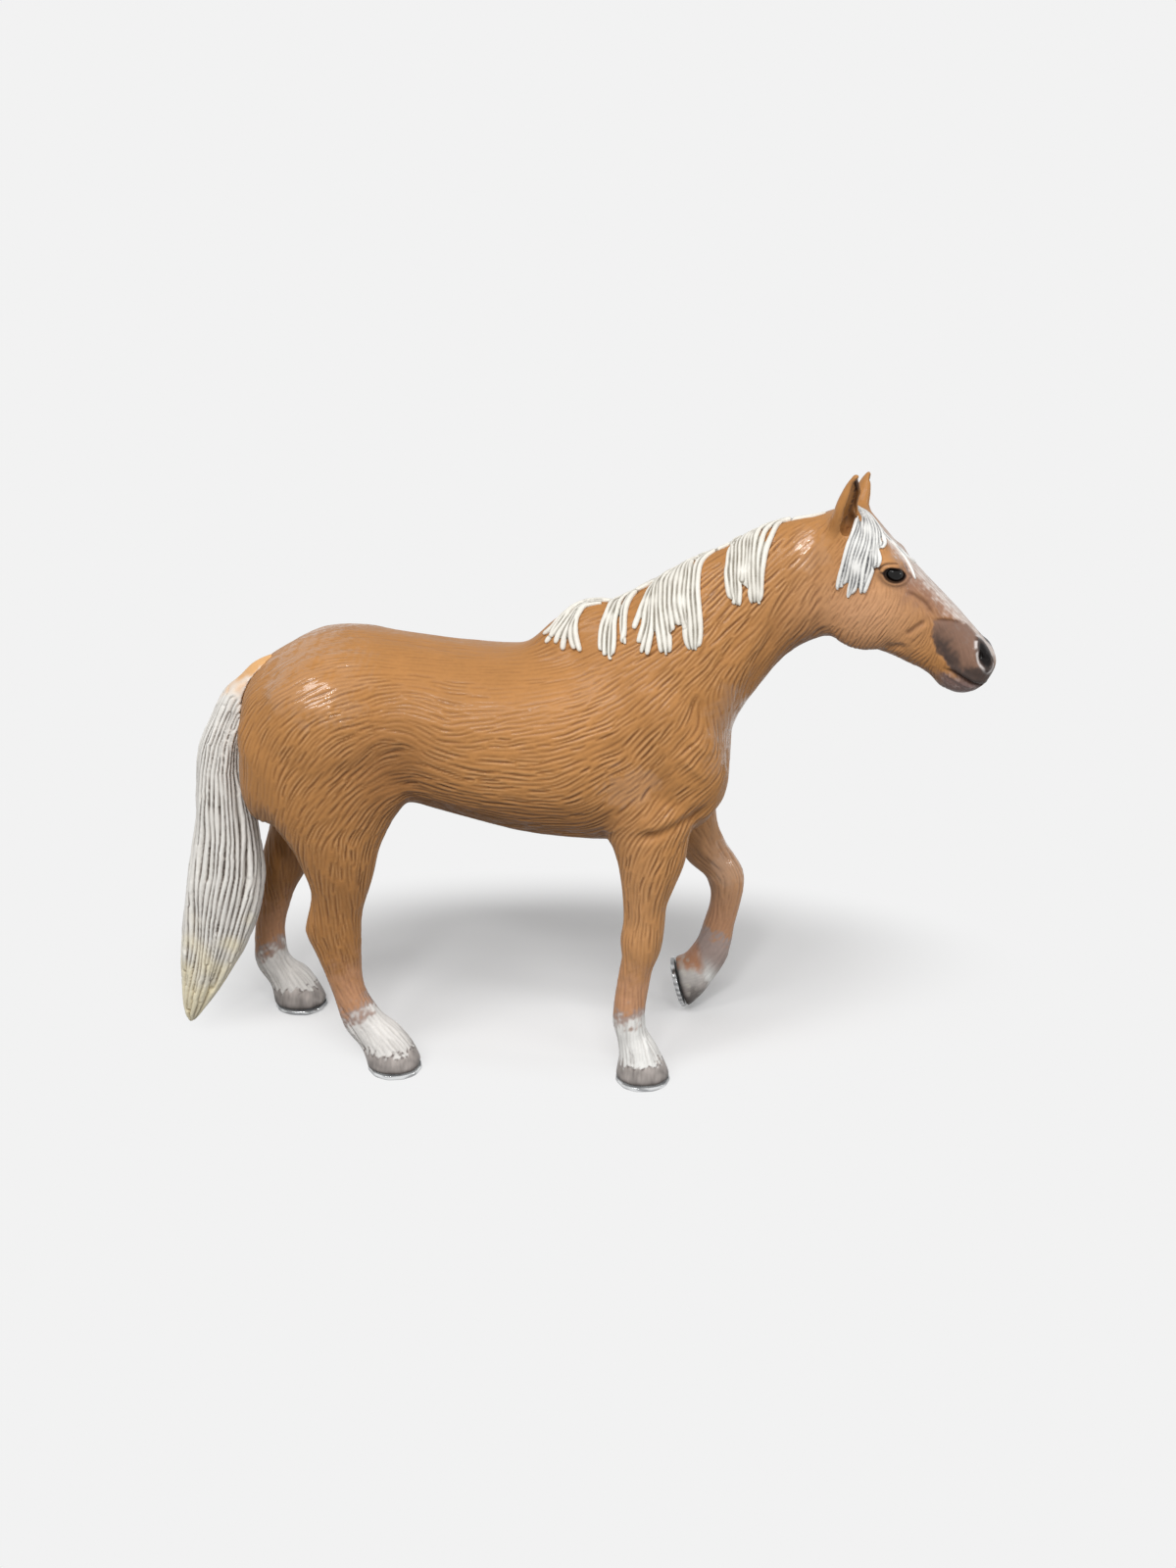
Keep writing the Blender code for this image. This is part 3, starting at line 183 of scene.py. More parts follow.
# Folds and ridges of the face: width, depth, then points in the head's own side view from the poll
FACE_FOLDS = [
    (0.35, 0.20, ((12.3, -0.4), (13.8, -1.0), (15.6, -2.4), (17.1, -4.4))),
    (0.45, -0.22, ((13.1, -0.1), (14.6, -0.9), (16.4, -2.3), (17.9, -4.4))),
    (0.40, 0.28, ((12.6, -7.6), (14.3, -6.1), (15.8, -4.9))),
    (0.50, -0.16, ((13.2, -8.4), (15.0, -6.8), (16.4, -5.6))),
    (0.28, 0.22, ((16.9, -4.9), (19.6, -5.3), (22.0, -6.2))),
    (0.28, 0.16, ((16.8, -4.9), (16.7, -7.7), (18.3, -10.7), (20.4, -12.6))),
    (0.70, 0.30, ((9.6, -10.4), (11.4, -9.8), (13.2, -9.9))),
    (0.28, 0.45, ((19.0, -13.2), (20.4, -13.5), (21.9, -14.4), (23.6, -15.4), (25.6, -16.2), (27.6, -16.4))),
    (0.40, -0.22, ((18.9, -12.5), (20.6, -12.8), (22.2, -13.7), (24.2, -14.8), (26.4, -15.6))),
    (0.40, -0.22, ((19.2, -14.0), (20.6, -14.6), (22.2, -15.6), (24.2, -16.6))),
    (0.45, 0.20, ((6.6, 2.2), (7.6, 3.4), (8.6, 3.6))),
    (0.60, -0.20, ((7.2, 5.2), (9.0, 6.0), (11.4, 5.6), (13.2, 4.2))),
]
MOUTH_FOLD = 7                  # its row in FACE_FOLDS
MOUTH_WIDTH = 0.24
# Folds of the face that are painted darker: row in FACE_FOLDS, width and share
FACE_MARKS = [(0, 0.3, 0.55), (2, 0.35, 0.6), (4, 0.22, 0.6), (10, 0.35, 0.8)]

# Seeds of the carved hair, and the pitch, length and width of the face's hair against the body's
BODY_HAIR_SEED = 11
FACE_HAIR_SEED = 12
FACE_HAIR = (0.75, 0.5, 0.72)

# Eyes and nostrils in the head's frame: place, tilt and half lengths of each opening. A bead is shifted from
# its node's middle, forward and up, and the left one is set further in
EYE_PLACE = (10.60, 2.30)
EYE_TILT = math.radians(-20.0)
EYE_SPAN = (1.68, 1.20)
EYE_SHIFT = (0.0003, -0.0007)
LEFT_EYE_SINK = 2.4
NOSTRIL_PLACE = (25.4, -2.9, -10.7)
NOSTRIL_SPAN = (2.0, 1.05)

# Strands of the mane and forelock: points of each as the camera sees them, right of and above its target
CREST_STRAND = ((-1.6, 30.9), (4.4, 32.7), (6.5, 34.0), (11.0, 36.5), (14.7, 38.4), (20.8, 40.7), (25.7, 42.6),
                (29.4, 44.7), (33.3, 46.1), (36.3, 45.9), (39.6, 45.6))
MANE_STRANDS = [
    ((5.0, 32.7), (1.1, 31.7), (-0.8, 30.7), (-2.2, 29.8), (-4.7, 27.3), (-6.3, 25.5), (-7.4, 24.9)),
    ((3.3, 31.9), (-0.2, 31.0), (-2.2, 29.3), (-4.4, 26.9), (-5.8, 25.2), (-6.0, 24.6)),
    ((4.0, 32.1), (-0.3, 30.5), (-1.7, 29.6), (-4.2, 26.8), (-5.7, 25.0), (-7.0, 23.4)),
    ((3.6, 31.4), (0.4, 30.1), (-1.3, 29.3), (-3.1, 27.1), (-4.7, 25.2), (-5.4, 23.4)),
    ((2.6, 30.5), (-0.6, 29.6), (-2.0, 28.4), (-3.1, 26.2), (-4.0, 24.1), (-4.2, 22.3)),
    ((2.2, 30.3), (-0.4, 29.6), (-1.7, 27.8), (-2.8, 25.5), (-2.6, 23.6), (-2.2, 22.5)),
    ((2.2, 30.1), (-0.8, 29.3), (-1.9, 27.3), (-2.0, 25.5), (-1.7, 23.6), (-1.2, 22.0)),
    ((7.3, 33.9), (5.8, 32.8), (4.3, 30.7), (3.1, 28.2), (2.4, 26.2), (2.2, 23.8), (2.2, 22.2)),
    ((8.6, 34.6), (6.6, 33.3), (5.0, 31.0), (3.8, 28.6), (3.1, 26.6), (2.8, 23.8), (2.8, 21.3)),
    ((9.5, 34.9), (7.7, 33.5), (5.9, 31.0), (4.7, 28.7), (4.0, 26.6), (3.8, 24.1), (3.7, 20.7)),
    ((9.1, 34.6), (7.3, 32.8), (6.1, 30.9), (5.0, 28.7), (4.5, 27.0), (4.5, 24.5), (4.2, 21.6)),
    ((12.0, 36.3), (9.5, 34.6), (7.7, 32.5), (6.6, 30.5), (5.9, 28.4), (5.8, 26.2), (5.9, 24.5), (6.2, 23.2)),
    ((10.4, 35.3), (8.2, 32.6), (6.8, 30.1), (6.2, 28.0), (6.1, 25.2), (5.8, 23.4)),
    ((11.8, 34.9), (10.7, 32.6), (9.7, 30.7), (8.9, 28.9), (8.1, 26.8), (7.7, 25.8)),
    ((12.4, 36.9), (11.8, 35.3), (11.0, 32.8), (10.2, 31.0), (9.7, 29.1), (9.5, 27.0), (8.8, 24.8), (8.3, 23.6)),
    ((13.0, 37.2), (12.0, 35.5), (11.3, 33.2), (10.7, 31.2), (10.4, 29.4), (10.2, 27.0), (9.7, 24.5), (8.9, 21.8)),
    ((13.7, 37.6), (12.5, 36.0), (11.8, 33.7), (11.2, 31.6), (11.0, 29.4), (10.9, 27.0), (10.4, 24.5), (9.8, 21.6)),
    ((14.4, 37.9), (13.0, 36.7), (12.2, 34.0), (11.7, 31.6), (11.5, 29.1), (11.6, 26.6), (12.0, 24.1), (12.3, 21.8)),
    ((15.1, 38.1), (13.7, 37.1), (12.8, 34.6), (12.3, 31.9), (12.2, 29.3), (12.5, 26.6), (12.8, 24.1), (13.0, 21.5)),
    ((15.9, 38.4), (14.5, 37.2), (13.6, 34.6), (13.0, 31.6), (12.9, 29.1), (13.4, 26.6), (13.6, 24.1), (13.6, 21.8)),
    ((16.5, 38.7), (15.1, 37.2), (14.3, 34.6), (13.9, 31.7), (13.8, 29.6), (14.1, 27.7), (14.2, 25.5)),
    ((17.1, 38.9), (15.9, 37.2), (15.1, 34.6), (14.6, 31.7), (14.5, 29.6), (14.9, 28.0), (15.1, 26.6)),
    ((17.8, 39.2), (16.5, 37.2), (15.8, 34.4), (15.4, 31.7), (15.4, 29.8), (15.9, 27.7), (16.1, 26.2)),
    ((18.5, 39.5), (17.0, 37.4), (16.5, 34.6), (16.0, 31.7), (16.1, 29.1), (16.2, 26.2), (16.3, 24.1), (16.9, 22.5)),
    ((19.4, 39.8), (17.7, 37.4), (17.1, 34.6), (16.8, 31.7), (17.0, 29.1), (17.2, 26.2), (17.2, 24.1), (17.4, 22.3)),
    ((20.3, 40.1), (18.6, 37.4), (17.8, 34.6), (17.5, 31.7), (17.7, 29.1), (17.9, 26.2), (18.0, 24.1), (17.9, 22.2)),
    ((20.7, 40.2), (19.4, 37.6), (18.5, 35.3), (18.3, 32.6), (18.4, 30.0), (18.6, 27.3), (18.7, 24.8), (18.5, 22.9)),
    ((24.5, 40.1), (23.7, 38.9), (23.4, 36.6), (23.2, 35.3), (23.3, 33.6), (23.7, 31.0)),
    ((25.2, 42.3), (24.6, 40.6), (24.2, 38.5), (24.0, 36.3), (24.0, 33.6), (24.2, 30.9), (24.4, 29.9)),
    ((26.0, 43.2), (25.3, 41.4), (24.9, 39.0), (24.7, 36.3), (24.6, 33.6), (24.7, 31.4), (24.8, 29.8)),
    ((26.9, 43.9), (26.1, 42.4), (25.6, 40.1), (25.4, 37.4), (25.2, 34.7), (25.2, 32.0), (25.1, 29.8)),
    ((28.0, 44.3), (27.1, 42.8), (26.4, 40.6), (26.1, 38.2), (25.8, 36.0), (25.7, 34.0)),
    ((29.2, 44.8), (27.9, 43.1), (27.1, 41.2), (26.7, 38.7), (26.5, 36.6), (26.3, 34.7), (26.3, 33.0)),
    ((30.7, 45.4), (29.0, 43.7), (27.9, 41.9), (27.2, 39.8), (27.0, 37.4), (26.9, 34.7), (27.1, 32.0), (27.3, 30.2)),
    ((32.5, 46.1), (30.3, 44.6), (28.8, 42.4), (28.0, 40.4), (27.7, 37.9), (27.7, 35.2), (27.8, 32.5), (27.8, 30.2)),
    ((33.2, 45.6), (31.5, 44.3), (29.9, 42.4), (29.1, 40.6), (28.6, 38.5), (28.4, 35.8), (28.4, 33.0), (28.3, 30.2)),
    ((33.4, 45.1), (32.2, 43.6), (31.0, 41.9), (30.1, 40.1), (29.4, 37.9), (29.0, 35.8), (28.8, 33.6), (28.8, 30.7)),
]
FORELOCK_ROOT = (3.4, 0.0)      # on the head, forward of the poll and to the left of its middle
FORELOCK_STRANDS = [
    ((44.5, 42.5), (43.6, 40.5), (42.9, 37.9), (42.3, 35.5), (41.8, 34.1), (41.7, 32.4)),
    ((44.8, 42.5), (44.1, 40.5), (43.5, 38.3), (43.0, 36.2), (42.8, 34.8), (42.3, 32.8)),
    ((45.2, 42.2), (44.6, 40.3), (44.0, 38.3), (43.5, 36.2), (43.2, 34.7), (42.9, 33.5)),
    ((45.7, 42.2), (45.3, 40.5), (44.8, 38.6), (44.2, 36.8), (44.1, 35.0), (43.6, 32.6), (43.3, 31.1)),
    ((46.2, 42.2), (45.9, 40.5), (45.4, 38.9), (44.8, 37.4), (44.6, 35.5), (44.2, 33.2), (43.9, 31.6)),
    ((46.5, 41.7), (46.3, 39.9), (45.7, 38.1), (45.2, 36.7), (45.0, 35.0), (44.7, 32.8), (44.1, 31.8)),
    ((46.9, 41.7), (46.8, 40.1), (46.4, 38.4), (46.0, 36.7), (45.7, 35.0), (45.6, 33.2), (45.5, 31.7)),
    ((47.2, 41.7), (47.2, 39.9), (47.1, 38.1), (47.2, 36.5), (46.6, 35.3), (46.3, 33.5), (45.8, 31.8)),
    ((47.5, 41.5), (47.5, 39.8), (47.5, 38.1), (47.5, 36.5), (47.1, 35.1), (46.6, 33.5), (46.0, 31.8)),
    ((47.8, 41.5), (48.0, 39.8), (48.3, 38.4), (48.9, 37.2), (48.2, 36.2)),
    ((47.7, 42.2), (47.8, 39.6), (47.8, 37.9), (48.0, 36.5)),
    ((48.3, 41.7), (48.3, 40.5), (48.8, 39.9), (48.7, 39.1)),
    ((48.7, 41.7), (49.4, 40.1), (48.8, 39.2)),
]
FOREHEAD_STRANDS = [
    ((47.5, 44.3), (48.7, 42.5), (49.6, 41.3), (50.8, 40.1), (52.0, 38.9), (53.2, 37.8), (54.6, 36.8)),
    ((48.4, 42.6), (49.2, 41.4), (50.4, 40.5), (51.6, 39.2), (52.6, 38.0), (53.5, 36.7), (54.1, 35.3), (54.6, 34.1)),
]

# Tail's middle line from the dock to the tip, in side view
TAIL_LINE = [
    (-48.6, 69.4), (-52.5, 66.7), (-55.4, 61.3), (-57.0, 57.2), (-57.9, 52.4), (-58.1, 46.3), (-58.1, 40.2),
    (-58.6, 33.4), (-59.9, 27.3), (-61.5, 20.5), (-63.3, 14.3), (-65.1, 8.9), (-66.4, 4.8), (-66.7, 2.8),
]
TAIL_REACH = 0.014              # from the middle line past the tail's skin

# Crests that the coat is filled up to, at the tail's root and under the mane: points in side view and the
# filling's radius, then the oval in which the skin is smoothed, its middle and its half length and height
DOCK = [(-48.5, 69.4), (-51.0, 68.2), (-53.2, 66.2)]
DOCK_RADIUS = 2.6
DOCK_OVAL = ((-52.5, 67.5), (5.5, 5.0))
WITHERS = [(-5.0, 75.6), (-3.0, 77.3), (-1.0, 79.5), (1.0, 81.3), (3.0, 82.4), (5.0, 83.1)]
WITHERS_RADIUS = 5.0
WITHERS_OVAL = ((-3.0, 77.0), (14.0, 9.0))
SMOOTHING_ROUNDS = 300

# Clear pads: sides, then how high each ring lies in the pad and its reach against the pad's
PAD_SIDES = 96
PAD_RINGS = ((0.0, 0.82), (0.10, 0.87), (0.35, 0.895), (0.65, 0.89), (0.88, 0.87), (1.0, 0.86))

# The camera: its target, how far it stands to the right of the side view, its rise and its distance
TARGET = Vector((0.0029, MIDDLE, 0.050))
VIEW_TURN = math.radians(2.5)
VIEW_RISE = math.radians(24.0)
VIEW_DISTANCE = 0.380
VIEW_LENS = 52.33               # millimetres, on a sensor 36 mm wide
VIEW_SENSOR = 36
VIEW_CLIP = (0.01, 30)

# Floor: its radius, and the oval round the figure in which it takes shadow, its shift, stretch and fade
FLOOR_RADIUS = 6.0
SHADOW_SHIFT = (0, -0.050, 0)
SHADOW_STRETCH = (1.0, 2.0, 1)
SHADOW_FADE = (0.045, 0.088)

# Lamps: name, setting of its power, place, width and height, aim, and whether gloss shows it
CENTRE = (0.0, 0.0, 0.05)
LAMPS = [
    ("key lamp", "key_power", (-0.230, -0.330, 0.525), (0.25, 0.25), CENTRE, True),
    ("front lamp", "front_power", (0.02, -0.400, 0.525), (0.25, 0.25), CENTRE, False),
    ("low lamp", "low_power", (0.385, -0.460, 0.210), (0.25, 0.25), CENTRE, False),
    ("gloss lamp", "gloss_power", (-0.055, -0.450, 0.440), (0.06, 0.045), CENTRE, True),
    ("right lamp", "right_power", (0.52, -0.12, 0.20), (0.08, 0.08), (0.03, 0.0, 0.06), True),
]


def srgb(*levels):
    """A colour written as 0 to 255 levels, in the linear light that shaders use."""
    shares = np.asarray(levels, float) / 255
    return np.where(shares <= 0.04045, shares / 12.92, ((shares + 0.055) / 1.055) ** 2.4)


def tint(name):
    """One of the paints, markings and painted light and shade alike, in linear light."""
    return srgb(*PAINTS[name])


def soft_step(low, high, values):
    """0 below low and 1 above high, or the other way round where low is the larger, smooth between."""
    t = np.clip((values - low) / (high - low), 0, 1)
    return t * t * (3 - 2 * t)


def bell(values):
    return np.exp(-values * values)


def mixed(colours, colour, share):
    """Colours blended towards one colour by a share for each."""
    return colours + (np.asarray(colour) - colours) * np.clip(share, 0, 1)[:, None]


def ripple(points, length, seed, waves=9):
    """A smooth random field between about -1 and 1 that changes over the given length."""
    chance = np.random.default_rng(seed)
    turns = chance.normal(size=(waves, 3))
    turns *= math.tau / length / np.linalg.norm(turns, axis=1)[:, None]
    starts = chance.uniform(0, math.tau, waves)
    return np.sin(points @ turns.T + starts).sum(1) / math.sqrt(waves)


# Meshes

def new_object(name, mesh):
    piece = bpy.data.objects.new(name, mesh)
    bpy.context.scene.collection.objects.link(piece)
    return piece


def settle(piece):
    """Turn a piece's modifiers into its own mesh."""
    view = bpy.context.evaluated_depsgraph_get()
    view.update()
    mesh = bpy.data.meshes.new_from_object(piece.evaluated_get(view))
    old = piece.data
    piece.modifiers.clear()
    piece.data = mesh
    bpy.data.meshes.remove(old)
    return piece


def read(collection, name, width, kind=np.float32):
    values = np.empty(len(collection) * width, kind)
    collection.foreach_get(name, values)
    return values.reshape(-1, width)


def points_of(mesh):
    return read(mesh.vertices, "co", 3).astype(float)


def mesh_from(form, name):
    """A new mesh from an edited form, which is freed."""
    mesh = bpy.data.meshes.new(name)
    form.to_mesh(mesh)
    form.free()
    return mesh


class Skin:
    """A fine mesh as arrays: where its points lie, which way they face and which are neighbours."""

    def __init__(self, mesh):
        self.mesh = mesh
        self.place = points_of(mesh)
        self.links = read(mesh.edges, "vertices", 2, np.int32)
        self.count = np.maximum(np.bincount(self.links.ravel(), minlength=len(self.place)), 1)
        self.facing = None
        self.turn_out()

    def turn_out(self):
        """Write the points back and read which way each now faces."""
        self.mesh.vertices.foreach_set("co", self.place.astype(np.float32).ravel())
        self.mesh.update()
        self.facing = read(self.mesh.vertices, "normal", 3).astype(float)

    def around(self, values):
        """The average of each point's neighbours."""
        first, second = self.links.T
        size = len(self.place)
        total = np.bincount(first, values[second], size) + np.bincount(second, values[first], size)
        return total / self.count

    def smoothed(self, values, rounds):
        for _ in range(rounds):
            values = (values + self.around(values)) / 2
        return values

    def push(self, distance):
        self.place += self.facing * distance[:, None]
        self.turn_out()

    def relax(self, share, rounds):
        """Smooth the places themselves by a share for each point."""
        links = self.links[(share[self.links] > 0).any(1)]
        used, links = np.unique(links, return_inverse=True)
        first, second = links.reshape(-1, 2).T
        size = len(used)
        count = np.maximum(np.bincount(first, minlength=size) + np.bincount(second, minlength=size), 1)
        part, places = share[used] * 0.5, self.place[used]
        for _ in range(rounds):
            for axis in range(3):
                column = places[:, axis]
                total = np.bincount(first, column[second], size) + np.bincount(second, column[first], size)
                places[:, axis] += (total / count - column) * part
        self.place[used] = places
        self.turn_out()

    def hollowness(self):
        """How far each point lies below its neighbours, in shares of the distance between points."""
        mean = np.stack([self.around(self.place[:, axis]) for axis in range(3)], 1)
        return ((mean - self.place) * self.facing).sum(1)


def closed_copy(node, bend):
    """A fine, rounded copy of a CAD node, its edges that turn more than bend kept sharp."""
    form = bmesh.new()
    form.from_mesh(frame["nodes"][node].data)
    bmesh.ops.remove_doubles(form, verts=form.verts, dist=1e-6)
    keep = form.edges.layers.float.new("crease_edge")
    for edge in form.edges:
        if len(edge.link_faces) == 2 and edge.calc_face_angle(0) > bend:
            edge[keep] = 1
    piece = new_object(node + "_copy", mesh_from(form, node + "_copy"))
    rounding = piece.modifiers.new("rounding", 'SUBSURF')
    rounding.levels = rounding.render_levels = 2
    return settle(piece)


def melted(name, pieces, grain, bodies=1):
    """Overlapping closed pieces as one skin of even grain, of which the largest bodies are kept."""
    form = bmesh.new()
    for piece in pieces:
        form.from_mesh(piece.data)
        bpy.data.objects.remove(piece)
    whole = new_object(name, mesh_from(form, name))
    skin = whole.modifiers.new("skin", 'REMESH')
    skin.mode = 'VOXEL'
    skin.voxel_size = grain
    settle(whole)
    links = read(whole.data.edges, "vertices", 2, np.int32)
    body = np.arange(len(whole.data.vertices))
    while True:
        lowest = np.minimum(body[links[:, 0]], body[links[:, 1]])
        after = body.copy()
        np.minimum.at(after, links[:, 0], lowest)
        np.minimum.at(after, links[:, 1], lowest)
        after = after[after]
        if (after == body).all():
            break
        body = after
    names, sizes = np.unique(body, return_counts=True)
    form = bmesh.new()
    form.from_mesh(whole.data)
    form.verts.ensure_lookup_table()
    kept = names[np.argsort(-sizes)[:bodies]]
    spare = [form.verts[i] for i in np.nonzero(~np.isin(body, kept))[0]]
    bmesh.ops.delete(form, geom=spare, context='VERTS')
    form.to_mesh(whole.data)
    form.free()
    return whole


def smooth_shaded(mesh):
    mesh.polygons.foreach_set("use_smooth", np.ones(len(mesh.polygons), bool))


def paint_mesh(mesh, colours, varnish=None):
    """Store a painted colour for each point, and in its alpha how thick the varnish is."""
    layer = mesh.color_attributes.new("paint", 'FLOAT_COLOR', 'POINT')
    rows = np.zeros((len(mesh.vertices), 4), np.float32)
    rows[:len(colours), :3] = colours
    if varnish is not None:
        rows[:len(varnish), 3] = varnish
    layer.data.foreach_set("color", rows.ravel())


def flank_of(points):
    return np.where(points[:, 1] < MIDDLE, -1, 1)


def sideways(skin, low, high):
    """1 where the skin faces a side of the figure, 0 where it faces forward, back, up or down."""
    return soft_step(low, high, np.abs(skin.facing[:, 1]))


def oval(points, middle, halves):
    """Distance of each point from the middle of an oval of the side view, where 1 is its edge."""
    return np.hypot((points[:, 0] / MM - middle[0]) / halves[0], (points[:, 2] / MM - middle[1]) / halves[1])


def along_line(across, up, line, width):
    """How strongly each point of a side view lies on a line: a bell across it that fades at both ends."""
    lengths = [math.dist(a, b) for a, b in zip(line, line[1:])]
    total = sum(lengths)
    best = np.full(len(across), 1e9)
    where = np.zeros(len(across))
    run = 0.0
    for (start, end), length in zip(zip(line, line[1:]), lengths):
        step = ((end[0] - start[0]) / length, (end[1] - start[1]) / length)
        share = np.clip(((across - start[0]) * step[0] + (up - start[1]) * step[1]), 0, length)
        away = np.hypot(across - start[0] - share * step[0], up - start[1] - share * step[1])
        closer = away < best
        best = np.where(closer, away, best)
        where = np.where(closer, (run + share) / total, where)
        run += length
    fade = soft_step(0, 0.22, where) * soft_step(0, 0.22, 1 - where) * 0.85 + 0.15
    return bell(best / width) * fade


def in_head(points):
    """Points in the head's own frame, in millimetres from the poll."""
    away = (points - np.array(POLL)) / MM
    cosine, sine = math.cos(HEAD_TURN), math.sin(HEAD_TURN)
    return np.stack([cosine * away[:, 0] - sine * away[:, 1], sine * away[:, 0] + cosine * away[:, 1],
                     away[:, 2]], 1)


def past_neck(points):
    """How far each point lies ahead of the seam between neck and head, in metres and below 0 on the neck."""
    start, height, tilt = HEAD_SEAM
    return (points[:, 0] - start) * math.cos(tilt) + (points[:, 2] - height) * math.sin(tilt)


# Hair of the coat

def lie_of_hair(points, facing):
    """Direction of the hair along the skin at each point, and how deeply it is carved there."""
    across = points[:, 0] / MM
    up = points[:, 2] / MM
    side = flank_of(points)
    run = np.zeros((len(points), 2))
    strength = np.zeros(len(points))
    total = np.zeros(len(points))
    for flank, x, z, angle, force in HAIR_LIE:
        weight = 1 / ((across - x) ** 2 + (up - z) ** 2 + 6.0) ** 2
        if flank:
            weight = weight * (side == flank)
        run[:, 0] += weight * math.cos(math.radians(angle))
        run[:, 1] += weight * math.sin(math.radians(angle))
        strength += weight * force
        total += weight
    strength /= total
    sway = ripple(points, 9 * MM, 4) * math.radians(4) + ripple(points, 3.0 * MM, 5) * math.radians(5)
    turned_x = run[:, 0] * np.cos(sway) - run[:, 1] * np.sin(sway)
    turned_z = run[:, 0] * np.sin(sway) + run[:, 1] * np.cos(sway)
    flow = np.stack([turned_x, np.zeros(len(points)), turned_z], 1)
    flow -= facing * (flow * facing).sum(1)[:, None]
    flow /= np.linalg.norm(flow, axis=1)[:, None] + 1e-9
    return flow, strength


def carve_lines(skin, flow, strength, pitch, length, width, seed, tries):
    """Evenly spaced lines that follow the hair. Gives how deeply each point of the skin is cut, 0 to 1."""
    chance = np.random.default_rng(seed)
    tree = KDTree(len(skin.place))
    for index, point in enumerate(skin.place.tolist()):
        tree.insert(point, index)
    tree.balance()
    places = [Vector(row) for row in skin.place.tolist()]
    faces = [Vector(row) for row in skin.facing.tolist()]
    runs = [Vector(row) for row in flow.tolist()]
    depth = strength.tolist()
    step = pitch * 0.5
    taken = {}

    def crowded(point, own, room):
        x, y, z = int(point.x // pitch), int(point.y // pitch), int(point.z // pitch)
        for i in (x - 1, x, x + 1):
            for j in (y - 1, y, y + 1):
                for k in (z - 1, z, z + 1):
                    for other, line in taken.get((i, j, k), ()):
                        if line != own and (other - point).length_squared < room:
                            return True
        return False

    lines = []
    room_start = (pitch * 0.80) ** 2
    room_run = (pitch * 0.52) ** 2
    starts = chance.integers(0, len(places), tries).tolist()
    lengths = (length * chance.uniform(0.5, 1.5, tries)).tolist()
    for number, (start, reach) in enumerate(zip(starts, lengths)):
        if depth[start] < 0.06 or crowded(places[start], -1, room_start):
            continue
        branches = []
        for way in (1, -1):
            point = places[start].copy()
            branch = []
            run = runs[start] * way
            for _ in range(int(reach / 2 / step)):
                point = point + run * step
                _, index, _ = tree.find(point)
                face = faces[index]
                point = point - face * (point - places[index]).dot(face)
                run = runs[index] * way
                if depth[index] < 0.05 or crowded(point, number, room_run):
                    break
                branch.append((point, run * way, depth[index]))
            branches.append(branch)
        line = branches[1][::-1] + [(places[start], runs[start], depth[start])] + branches[0]
        if len(line) < 5:
            continue
        for point, _, _ in line:
            cell = (int(point.x // pitch), int(point.y // pitch), int(point.z // pitch))
            taken.setdefault(cell, []).append((point, number))
        lines.append(line)

    near, owner = [], []
    centres, runs_on, forces = [], [], []
    for line in lines:
        last = len(line) - 1
        force = 0.30 + 0.70 * chance.random()
        for spot, (point, run, deep) in enumerate(line):
            found = [row[1] for row in tree.find_range(point, width * 2.4)]
            near.extend(found)
            owner.extend([len(centres)] * len(found))
            centres.append(point)
            runs_on.append(run)
            forces.append(force * math.sin(math.pi * (spot + 0.6) / (last + 1.2)) ** 0.5)
    near = np.array(near, np.int64)
    owner = np.array(owner, np.int64)
    away = skin.place[near] - np.array(centres)[owner]
    heading = np.array(runs_on)[owner]
    aside = np.cross(heading, skin.facing[near])
    aside /= np.linalg.norm(aside, axis=1)[:, None] + 1e-9
    cut = bell((away * aside).sum(1) / width) * np.array(forces)[owner]
    cut *= np.abs((away * heading).sum(1)) < step * 1.1
    carved = np.zeros(len(places))
    np.maximum.at(carved, near, cut)
    return carved


# The coat

class HoofPlace:
    """Sole of one hoof, found from its pad: its middle, and the way up into the hoof."""

    def __init__(self, limb):
        self.limb = limb
        node = frame["nodes"][limb.replace("leg", "pad")]
        points = points_of(node.data)
        self.middle = points.mean(0)
        _, _, turns = np.linalg.svd(points - self.middle, full_matrices=False)
        leg = points_of(frame["nodes"][limb].data).mean(0)
        self.up = turns[2] * np.sign(turns[2] @ (leg - self.middle))
        self.side = -1 if self.middle[1] < MIDDLE else 1
        self.fore = limb.startswith("fore")

    def height(self, points):
        return (points - self.middle) @ self.up / MM

    def distance(self, points):
        return np.linalg.norm(points - self.middle - self.up * 2 * MM, axis=1) / MM


LIMBS = ["fore_leg_right", "fore_leg_left", "hind_leg_right", "hind_leg_left"]


def piece_of(points):
    """Number of the coat's piece that each point belongs to, in the order of COAT_NODES."""
    x, y, z = points.T
    side = flank_of(points)
    fore = (x > FORE_SEAM[0]) & (z < FORE_SEAM[1] + FORE_SEAM[2] * (x - FORE_SEAM[0]))
    fore &= np.abs(y - MIDDLE) > FORE_INNER
    hind = (x < HIND_SEAM[0]) & (z < HIND_SEAM[1])
    number = np.where(side < 0, 0, 1)
    number = np.where(fore, np.where(side < 0, 3, 4), number)
    number = np.where(hind, np.where(side < 0, 5, 6), number)
    return np.where(past_neck(points) > 0, 2, number)


COAT_NODES = ["trunk_right_shell", "trunk_left_shell", "head", *LIMBS]
COAT_PIECES = ["coat_right", "coat_left", "coat_head", "coat_fore_leg_right", "coat_fore_leg_left",
               "coat_hind_leg_right", "coat_hind_leg_left"]


